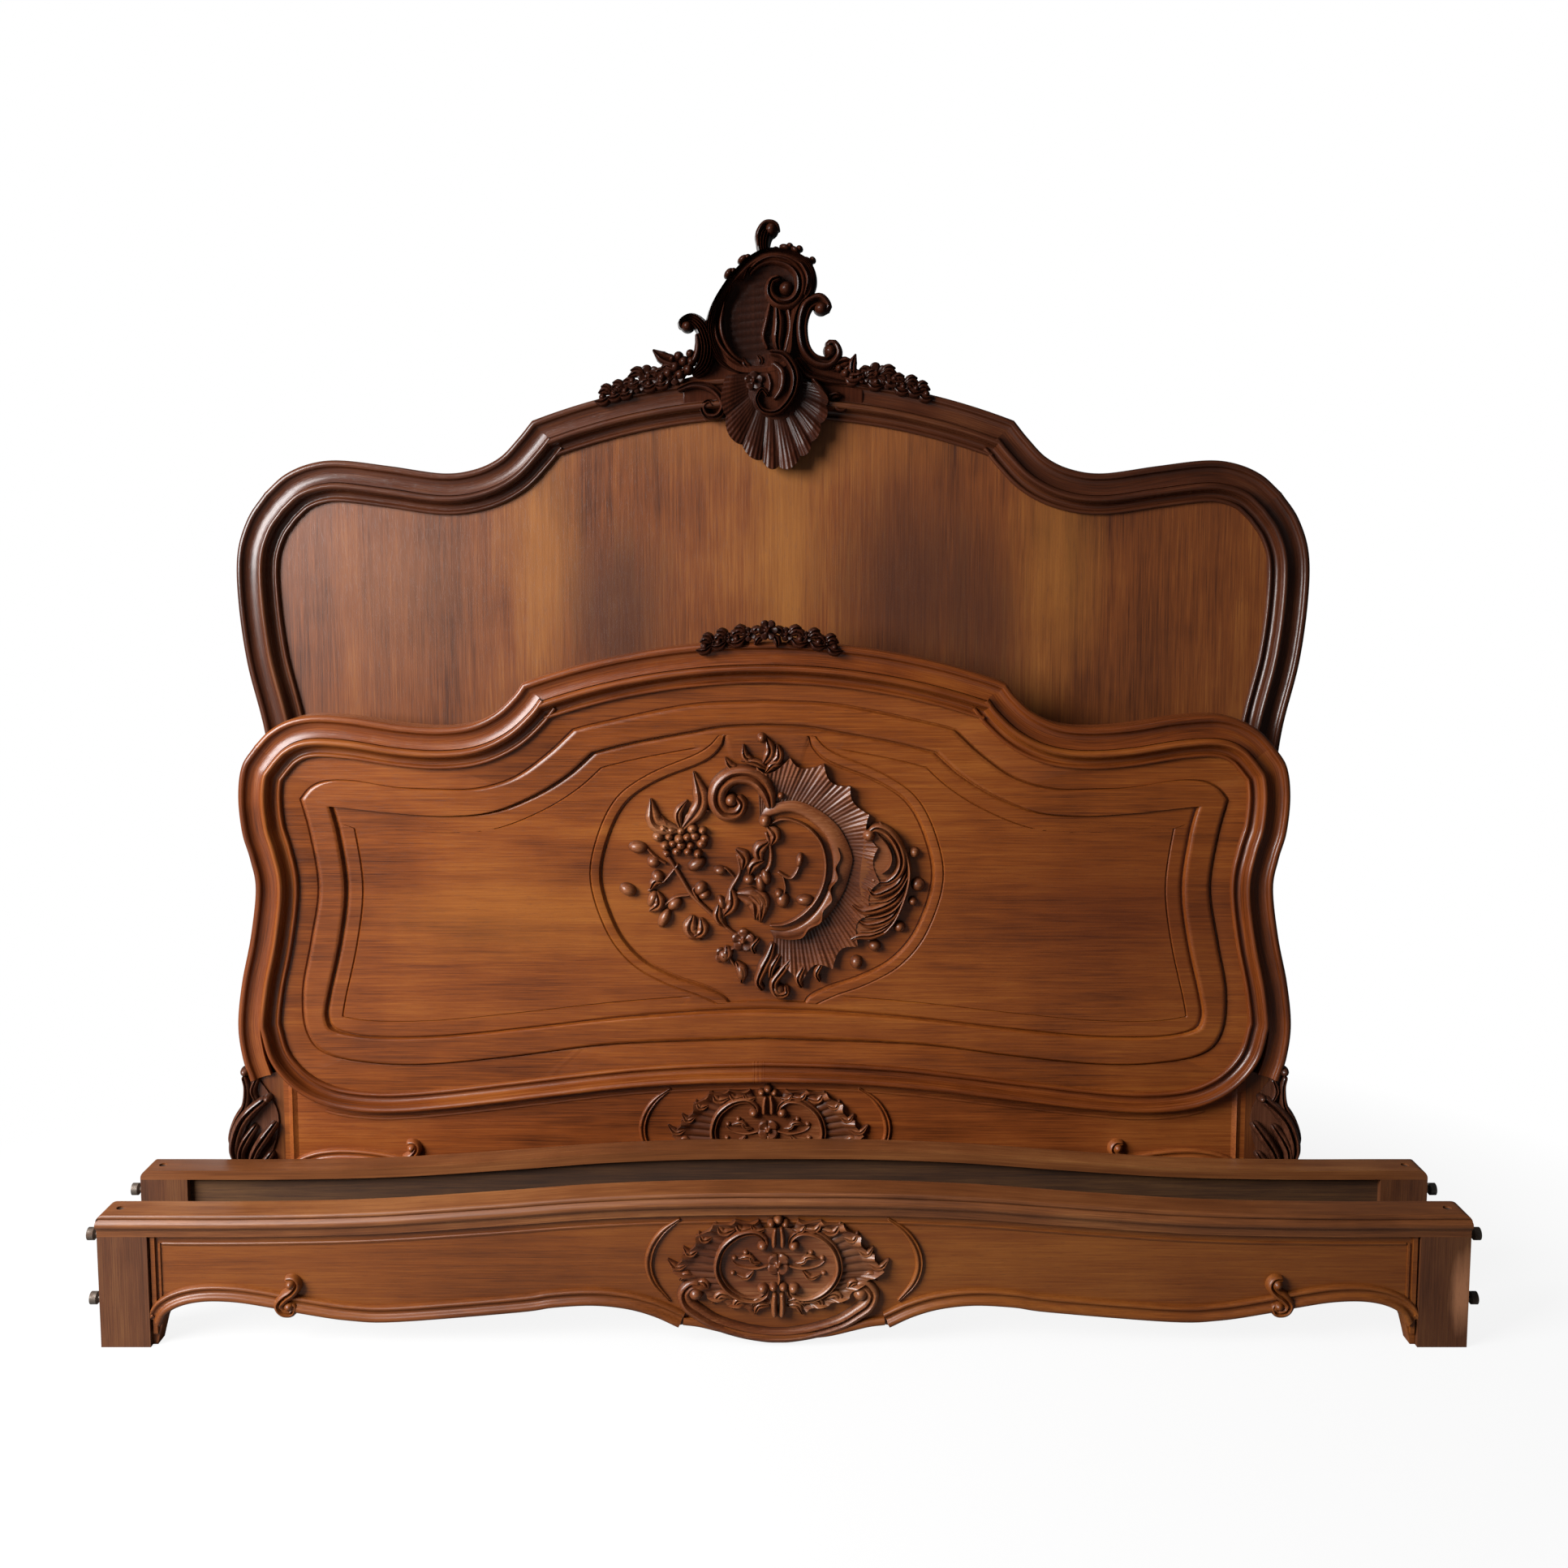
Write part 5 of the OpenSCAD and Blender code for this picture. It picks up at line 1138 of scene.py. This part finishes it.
# The rocaille in the footboard's oval stands on the oval's sunk ground
rocaille = Piece("foot", -OVAL_SUNK)
crescent_out = [(-7, 714), (7, 731), (46, 739), (84, 724), (115, 696), (134, 655), (131, 627), (120, 594),
                (100, 562), (74, 538), (46, 524), (14, 524)]
shell_out = [(-12, 792), (22, 802), (62, 806), (98, 792), (124, 768), (150, 742), (162, 712), (170, 684),
             (176, 650), (176, 610), (168, 574), (152, 538), (140, 506), (112, 482), (84, 468), (58, 456),
             (34, 462), (12, 482)]


def ribbed(along, over):
    """A hollow flaring ring with fine ribs that deepen toward its ruffled edge."""
    ribs = np.sin(2 * np.pi * 74 * along) + 0.5 * np.sin(2 * np.pi * 31 * along + 2)
    ruffle = np.sin(2 * np.pi * 11 * along + 0.6)
    return 4 + 8 * over ** 1.5 + 0.75 * ribs * (0.4 + 0.6 * over) + 2.5 * ruffle * over ** 2


band(rocaille, crescent_out, shell_out, ribbed, 600, 14, spikes(11, 0.25))
crescent_in = [(-2, 707), (12, 716), (34, 721), (54, 717), (76, 702), (94, 682), (104, 655), (105, 627),
               (98, 599), (82, 570), (60, 548), (34, 536), (8, 536)]


def bulging(along, over):
    """A smooth crescent, highest near its inner edge and thin at both ends."""
    ends = np.clip(np.minimum(along / 0.08, (1 - along) / 0.2), 0, 1) ** 0.5
    return 2 + ends * (5 + 4 * np.sin(np.pi * over ** 0.75) ** 0.8)


band(rocaille, crescent_in, crescent_out, bulging, 150, 14)
bead(rocaille, (1, 708), 10, 11, 18)
inner_ridge = [(8, 702), (28, 710), (52, 705), (72, 692), (88, 670), (94, 640), (90, 608), (76, 580),
               (54, 558), (30, 546), (8, 544)]
rod(rocaille, inner_ridge, [2.4, 3, 3, 3.4, 2.4], [8, 11, 12, 12, 8])
wavy = [(112, 668), (116, 652), (109, 636), (112, 620), (101, 604), (103, 586), (90, 570), (86, 552),
        (68, 542), (58, 528), (38, 524), (16, 527)]
rod(rocaille, wavy, [2, 4, 4, 4, 2], [14, 19, 20, 19, 12], RIDGE)

# Acanthus curling off the ring on the right, on a hollow ground
acanthus_ground = smooth(
    [(156, 690), (176, 698), (200, 680), (213, 654), (218, 622), (214, 590), (202, 562), (182, 540),
     (156, 526), (134, 528), (140, 556), (150, 580), (146, 610), (150, 650)], 4, closed=True
)
mound(rocaille, acanthus_ground, (178, 606), level(8), 10)
leaves_right = (([(158, 688), (170, 697), (188, 691), (203, 672), (210, 648), (205, 628), (190, 614),
                  (174, 612)], [5, 8, 9, 10, 10, 9, 7, 3], [14, 19, 22, 23, 23, 22, 18, 13], VEINED),
                ([(172, 690), (187, 673), (194, 654), (190, 638), (178, 626)], [2, 3, 4, 3, 2],
                 [20, 26, 27, 25, 17], RIDGE),
                ([(219, 636), (205, 612), (187, 600), (168, 594), (158, 606)], [3, 7, 8, 7, 3],
                 [14, 20, 22, 20, 13], VEINED),
                ([(219, 610), (201, 586), (177, 573), (151, 568), (134, 578)], [3, 8, 9, 8, 3],
                 [13, 19, 21, 20, 12], VEINED),
                ([(212, 580), (196, 559), (177, 549), (156, 546), (142, 554)], [3, 7, 8, 7, 3],
                 [12, 17, 19, 17, 11], VEINED),
                ([(202, 554), (186, 538), (164, 529), (143, 527), (124, 517)], [3, 7, 8, 6, 3],
                 [11, 16, 17, 15, 10], VEINED),
                ([(221, 624), (206, 600), (186, 586), (160, 582)], [1.5, 2, 2, 1.5], [16, 21, 21, 14]),
                ([(216, 594), (200, 572), (178, 561), (154, 557)], [1.5, 2, 2, 1.5], [15, 19, 19, 13]),
                ([(206, 566), (190, 549), (168, 538), (146, 536)], [1.5, 2, 2, 1.5], [13, 17, 17, 12]),
                ([(176, 705), (202, 684), (216, 658), (222, 630), (219, 604), (210, 575), (198, 550),
                  (180, 531), (158, 521)], [2, 3, 4, 4, 4, 3, 2], [12, 17, 18, 18, 17, 15, 10]))
rods(rocaille, *leaves_right)
bead(rocaille, (160, 686), 11, 11, 21)
for x, z, rx, rz in ((168, 616, 6, 5), (230, 658, 8, 9), (236, 608, 11, 11), (208, 542, 9, 9),
                     (170, 512, 10, 9), (142, 486, 10, 11), (228, 582, 7, 7)):
    bead(rocaille, (x, z), rx, rz, 13)

# The volute and leaves at the upper left of the ring, and the scrolls under it
volute = [(10, 726), (6, 748), (-6, 768), (-26, 778), (-50, 776), (-68, 760), (-72, 738), (-60, 720),
          (-42, 720), (-34, 734), (-42, 746)]
rod(rocaille, volute, [7, 13, 16, 16, 16, 16, 16, 15, 13, 10, 7],
    [13, 18, 22, 22, 22, 22, 22, 21, 20, 19, 17], VEINED)
bead(rocaille, (-51, 740), 11, 11, 21)
rod(rocaille, [(14, 738), (8, 762), (-10, 782), (-34, 790)], [3, 5, 5, 2], [12, 16, 16, 12])
for p, q, wide, bend in (
    ((-2, 794), (2, 838), 10, -0.2), ((6, 792), (20, 826), 9, -0.25), ((-12, 798), (-32, 826), 7, 0.25),
    ((-36, 788), (-60, 806), 7, 0.2), ((8, 786), (-36, 800), 7, -0.1), ((2, 782), (30, 796), 7, 0.2),
):
    leaf(rocaille, p, q, wide, 15, bend)
bead(rocaille, (-4, 836), 8, 9, 17)
bead(rocaille, (25, 747), 6, 6, 15)
for line, half in (
    ([(14, 518), (8, 498), (-2, 478), (-10, 456), (-2, 442)], [5, 9, 10, 8, 5]),
    ([(42, 492), (28, 474), (14, 454), (20, 436), (34, 438), (33, 450)], [4, 8, 8, 8, 7, 4]),
    ([(24, 500), (12, 480), (8, 462)], [4, 7, 3]), ([(62, 482), (52, 462), (58, 446)], [5, 8, 4]),
    ([(92, 490), (80, 470), (86, 456)], [4, 6, 3]), ([(-8, 524), (-18, 512), (-14, 500)], [4, 6, 3]),
):
    rod(rocaille, line, half, [10, 15, 17, 17, 13], VEINED)
stand_for(rocaille, "foot_panel_rocaille", "carved", carved_warm)

# The flower spray on the left
spray_piece = Piece("foot", -OVAL_SUNK)
stems = (([(-150, 655), (-129, 620), (-112, 592), (-84, 564), (-56, 538), (-36, 524)], 4),
         ([(-124, 696), (-118, 716), (-100, 726), (-84, 722)], 3),
         ([(-132, 640), (-156, 612), (-180, 598)], 2.5), ([(-112, 592), (-138, 588), (-158, 572)], 2.5),
         ([(-96, 574), (-110, 600), (-100, 604)], 2.5),
         ([(-60, 540), (-64, 562), (-52, 600), (-38, 628), (-42, 656)], 4),
         ([(-46, 620), (-60, 634), (-66, 630)], 2),
         ([(-30, 612), (-14, 616), (6, 634), (10, 660), (2, 690)], 4),
         ([(20, 628), (40, 618), (52, 634), (53, 650)], 3), ([(28, 622), (32, 604), (28, 586)], 2),
         ([(-44, 510), (-56, 500), (-40, 470)], 3), ([(-150, 640), (-166, 650), (-180, 664)], 2.5))
for line, half in stems:
    rod(spray_piece, line, [half, half, 0.8 * half], [7, 9, 7])
spray_leaves = (((-126, 694), (-108, 784), 11, -0.22), ((-128, 694), (-118, 740), 6, 0.2),
                ((-128, 692), (-174, 742), 11, 0.3), ((-132, 690), (-158, 716), 6, 0.2),
                ((4, 700), (10, 668), 8, 0.3), ((8, 676), (-4, 640), 9, -0.3),
                ((0, 646), (-24, 622), 8, -0.2), ((-44, 664), (-34, 630), 8, 0.25),
                ((-44, 594), (-14, 552), 13, 0.35), ((-30, 600), (-6, 548), 9, 0.25),
                ((-52, 604), (-66, 556), 9, 0.2), ((-70, 578), (-58, 540), 7, -0.2),
                ((-16, 600), (-8, 560), 8, 0.3), ((-58, 512), (-70, 492), 8, 0.3),
                ((-44, 488), (-36, 452), 8, 0.15), ((-110, 560), (-96, 522), 10, -0.3),
                ((-98, 556), (-112, 524), 8, 0.3), ((-176, 600), (-150, 612), 6, 0.3),
                ((-166, 598), (-178, 566), 8, 0.3))
for p, q, wide, bend in spray_leaves:
    leaf(spray_piece, p, q, 1.25 * wide, 14, bend)
# Each bud is x, z, its two radii and its turn
spray_buds = ((-194, 666, 15, 10, -10), (-170, 644, 11, 10, 0), (-164, 620, 10, 11, 30),
              (-210, 600, 14, 10, -25), (-172, 586, 8, 14, -20), (-138, 578, 13, 10, 40),
              (-154, 556, 9, 17, -25), (-104, 640, 16, 10, 30), (-98, 602, 12, 10, 60),
              (-92, 592, 10, 8, 20), (-68, 630, 11, 8, -10), (-24, 616, 10, 9, 0), (-6, 610, 8, 15, 10),
              (2, 620, 8, 14, 15), (28, 584, 11, 13, 0), (22, 594, 7, 8, 20), (54, 646, 6, 12, -10),
              (62, 584, 14, 9, 0), (-66, 580, 6, 12, 20), (-36, 470, 8, 15, 12), (-62, 496, 10, 12, 20),
              (20, 442, 12, 12, 0))
for x, z, rx, rz, turn in spray_buds:
    bead(spray_piece, (x, z), rx, rz, 14, turn)
# A head of small round berries
for row, across_row in enumerate((5, 6, 5, 4)):
    for k in range(across_row):
        sway = 2.6 * math.sin(5.1 * k + 3.7 * row)
        spot = (-126 + 14.4 * (k - (across_row - 1) / 2) + sway,
                693 - 11.5 * row + 2.2 * math.cos(4.3 * k + row))
        size = 7.6 + 1.2 * math.sin(2.9 * k + 1.3 * row)
        bead(spray_piece, spot, size, 0.94 * size, 14 + sway)
        bead(spray_piece, spot, 0.36 * size, 0.36 * size, 16.4 + sway)
blossom(spray_piece, (-33, 521), 18, 17, 5, 15)
blossom(spray_piece, (-64, 497), 13, 13, 4, 40)
stand_for(spray_piece, "foot_panel_spray", "carved", carved_warm)


# The cartouche in the middle of a rail, also on the footboard's apron
def wing(along, over):
    """Ribs that run outward, with a raised ruffled edge."""
    ribs = np.abs(np.sin(np.pi * 18 * along)) ** 0.8
    ruffle = np.clip(over - 0.62, 0, 1) * (1 + 0.5 * np.sin(2 * np.pi * 9 * along))
    return 3 + 2.6 * ribs * (1 - 0.4 * over) + 16 * ruffle


def dished(out, u, x, z):
    """A ground that turns up toward its rim."""
    return 2.5 + 2 * out ** 4


def cartouche(board, node, x0, z0=0):
    """Two facing C-scrolls with ball ends round a flower, ribbed wings, palmettes above and
    below, and a broad C-scroll along the lobe."""
    piece = Piece(board)

    def at(points, side=1):
        return [(x0 + side * x, z0 + z) for x, z in points]

    def spot(x, z):
        return x0 + side * x, z0 + z

    ring_in = smooth([(20, 168), (60, 160), (84, 136), (88, 118), (82, 98), (60, 76), (20, 68)], 4)
    wing_out = smooth([(28, 186), (78, 184), (108, 172), (122, 154), (134, 138), (150, 124), (146, 106),
                       (122, 92), (96, 70), (40, 52)], 4)
    middle = (x0, z0 + 118)
    mound(piece, oval(middle, 92, 56, 0, 60), middle, dished, 10)
    for side in (1, -1):
        band(piece, at(ring_in, side), at(wing_out, side), wing, 170, 14, spikes(9, 0.17))
        scroll = [(16, 148), (20, 160), (34, 168), (56, 164), (76, 148), (85, 126), (84, 106), (72, 86),
                  (52, 72), (32, 69), (18, 76), (15, 87)]
        rod(piece, at(scroll, side), [4, 5, 5.5, 6, 6, 6, 6, 6, 5.5, 5, 4],
            [10, 12, 13, 14, 14, 14, 14, 14, 13, 12, 10], TWIN)
        bead(piece, spot(22, 148), 8.5, 8, 15)
        bead(piece, spot(22, 86), 8.5, 8, 15)
        rod(piece, at([(6, 146), (6, 162), (4, 176)], side), [4, 4, 3], [13, 14, 12])
        rod(piece, at([(5, 44), (6, 62), (5, 80)], side), [5, 5, 4], [13, 14, 13])
        bead(piece, spot(7, 88), 6.5, 6.5, 15)
        bead(piece, spot(10, 181), 6, 6, 14)
        for p, q, wide, bend in (
            ((18, 172), (40, 180), 5, -0.3), ((36, 174), (62, 184), 6, -0.3),
            ((60, 172), (88, 182), 7, -0.35), ((12, 66), (40, 56), 6, 0.3), ((12, 60), (34, 46), 6, 0.3),
            ((40, 64), (66, 54), 6, 0.35), ((62, 70), (94, 62), 7, 0.35),
            ((92, 160), (112, 168), 6, -0.4), ((112, 142), (134, 146), 6, -0.4),
            ((126, 122), (156, 128), 6, -0.3), ((120, 104), (140, 96), 6, 0.3),
            ((98, 84), (116, 94), 6, 0.3), ((30, 118), (58, 128), 5, 0.3),
            ((34, 112), (60, 106), 5, -0.3), ((24, 122), (40, 138), 4, -0.3)
        ):
            leaf(piece, spot(*p), spot(*q), wide, 10, side * bend)
        rod(piece, at([(14, 118), (34, 114), (56, 118), (66, 126)], side), [2, 2.5, 2, 1.5], [6, 7, 6, 5])
        for x, z in ((62, 130), (64, 108), (46, 138)):
            bead(piece, spot(x, z), 4.5, 4, 8)
        bead(piece, spot(116, 78), 11, 10, 15.5)
    sweep = [(110, 88), (122, 90), (133, 78), (128, 62), (112, 49), (88, 34), (52, 22), (20, 16)]
    bow = at(sweep, -1) + at([(0, 15)]) + at(sweep[::-1])
    rod(piece, bow, [8, 12, 11, 11, 11, 11, 12, 8], [10, 13, 11, 10, 10, 11, 13, 10], VEINED)
    bead(piece, (x0, z0 + 187), 7, 6.5, 15.5)
    blossom(piece, (x0, z0 + 121), 17, 13, 4, 45)
    rod(piece, at([(0, 112), (2, 100), (0, 90)]), [3, 3, 2], [9, 9, 7])
    stand_for(piece, node, "carved", carved_warm)


cartouche("front_rail", "front_rail_cartouche", -8)
cartouche("back_rail", "back_rail_cartouche", 0)
cartouche("foot", "foot_apron_cartouche", 5, APRON)

# Acanthus on the footboard's legs
for side, name in SIDES:
    piece = Piece("foot")
    ground_leaf = [(808, 150), (824, 168), (828, 198), (821, 232), (808, 262), (801, 292), (806, 312),
                   (796, 316), (786, 300), (772, 280), (758, 246), (761, 208), (775, 172), (792, 152)]
    outline = smooth(np.array(ground_leaf) * (side, 1), 4, closed=True)
    mound(piece, outline, (side * 795, 236), level(4), 8)
    for line, half, high in (
        ([(817, 154), (825, 190), (815, 228), (798, 252), (774, 272)], [5, 10, 12, 11, 8],
         [12, 20, 23, 22, 16]),
        ([(812, 152), (815, 184), (805, 208), (790, 230)], [4, 8, 9, 6], [12, 19, 20, 14]),
        ([(805, 152), (794, 184), (779, 208), (760, 234)], [4, 9, 10, 7], [12, 18, 20, 14]),
        ([(796, 152), (782, 166), (767, 186)], [4, 8, 6], [10, 15, 12]),
        ([(826, 180), (830, 208), (820, 238), (807, 260), (804, 288), (808, 308)], [3, 6, 7, 7, 6, 5],
         [10, 15, 16, 16, 15, 14]), ([(788, 266), (794, 284), (788, 304)], [4, 6, 5], [12, 15, 12])
    ):
        rod(piece, np.array(line) * (side, 1), half, high, VEINED)
    bead(piece, (side * 806, 314), 8, 8, 16)
    bead(piece, (side * 772, 272), 7, 7, 18)
    stand_for(piece, "foot_acanthus_" + name, "carved", carved_dark)


# Finishes of the CAD nodes
def finish_of(name):
    """The finish that a node's name calls for."""
    if any(word in name for word in ("screws", "plate", "studs", "cam")):
        return iron
    if name == "head_panel":
        return head_veneer
    if "ledger" in name:
        return ledger_oak
    if name.startswith("head_crest"):
        return crest_dark
    if "block" in name:
        return block_dull
    if "acanthus" in name:
        return carved_dark
    if "cartouche" in name or "garland" in name or "rocaille" in name or "spray" in name:
        return carved_warm
    if "post" in name or "leg" in name:
        return leg_warm
    return board_warm if name.startswith(("head", "foot")) else rail_warm


for node_name, node_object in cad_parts.items():
    node_object.data.materials.clear()
    node_object.data.materials.append(finish_of(node_name))

# Floor: pale near the boards, where it takes their shadow, and plain white farther off
FAR, WHITE_NEAR, FADE_FROM, FADE_RATE = 30, 0.88, 0.9, 0.3
floor_mesh = bpy.data.meshes.new("floor")
floor_mesh.from_pydata([(-FAR, -FAR, 0), (FAR, -FAR, 0), (FAR, FAR, 0), (-FAR, FAR, 0)], [], [(0, 1, 2, 3)])
floor = bpy.data.objects.new("floor", floor_mesh)
bpy.context.scene.collection.objects.link(floor)
paper = Nodes(bpy.data.materials.new("floor paper"))
place = paper.node("TexCoord", {}, {}, out="Object")
spread = paper.node("Mapping", {}, {"Vector": place, "Scale": (0.8, 1, 1)})
away = paper.node("VectorMath", {"operation": "LENGTH"}, {0: spread}, out="Value")
far = (WHITE_NEAR + ((away - FADE_FROM) * FADE_RATE).clipped()).clipped()
matt = paper.node("BsdfDiffuse", {}, {"Color": (0.8, 0.8, 0.8, 1)})
dull = paper.node("BsdfDiffuse", {}, {"Color": (0.22, 0.22, 0.22, 1)})
seen = paper.node("LightPath", {}, {})
glow = paper.node("Emission", {}, {"Color": (1, 1, 1, 1), "Strength": 1.0})
pale = paper.node("MixShader", {}, {0: far, 1: matt, 2: glow})
floor_mesh.materials.append(paper.shown(paper.node("MixShader", {}, {0: seen, 1: dull, 2: pale})))

# Daylight: white behind the boards, dim as a light
SKY_STRENGTH = 0.055
sky = Nodes(bpy.data.worlds.new("daylight"))
dim = sky.node("Background", {}, {"Color": (0.92, 0.95, 1, 1), "Strength": SKY_STRENGTH})
white = sky.node("Background", {}, {"Color": (1, 1, 1, 1)})
to_camera = sky.node("LightPath", {}, {}, out="Is Camera Ray")
seen_or_felt = sky.node("MixShader", {}, {0: to_camera, 1: dim, 2: white})
bpy.context.scene.world = sky.shown(seen_or_felt, "OutputWorld")


def lamp(name, place, aim, wide, high, watts):
    """A soft square lamp that faces a point."""
    data = bpy.data.lights.new(name, "AREA")
    data.shape = "RECTANGLE"
    data.size, data.size_y, data.energy = wide, high, watts
    made = bpy.data.objects.new(name, data)
    bpy.context.scene.collection.objects.link(made)
    made.location = place
    made.rotation_mode = "QUATERNION"
    made.rotation_quaternion = (Vector(aim) - Vector(place)).to_track_quat("-Z", "Y")


lamp("window", (-2.55, -1.75, 1.9), (-0.4, 0, 0.8), 1.8, 1.8, 255)
lamp("fill", (3.4, -3.0, 2.4), (0, 0, 0.6), 2.0, 2.0, 1.5)
lamp("behind", (-0.8, 3.0, 1.3), (0, 0, 0.8), 2.0, 2.0, 20)
lamp("above", (-0.9, -0.8, 4.2), (-0.2, 0, 0.6), 2.4, 2.4, 24)

# Camera: values in pixels are places in the square photo
PHOTO_SIDE, FOCAL_PIXELS, AXIS_ROW = 1932, 1900, 843
TILT, CAMERA_AWAY, CAMERA_HIGH = 5.5, 2.2675, 1.142
camera_data = bpy.data.cameras.new("camera")
camera_data.sensor_width = 36
camera_data.lens = camera_data.sensor_width * FOCAL_PIXELS / PHOTO_SIDE
camera_data.shift_y = -(PHOTO_SIDE / 2 - AXIS_ROW) / PHOTO_SIDE
camera = bpy.data.objects.new("camera", camera_data)
bpy.context.scene.collection.objects.link(camera)
camera.location = (0, -CAMERA_AWAY, CAMERA_HIGH)
camera.rotation_euler = (math.radians(90 - TILT), 0, 0)
bpy.context.scene.camera = camera
bpy.context.scene.view_settings.view_transform = "Standard"
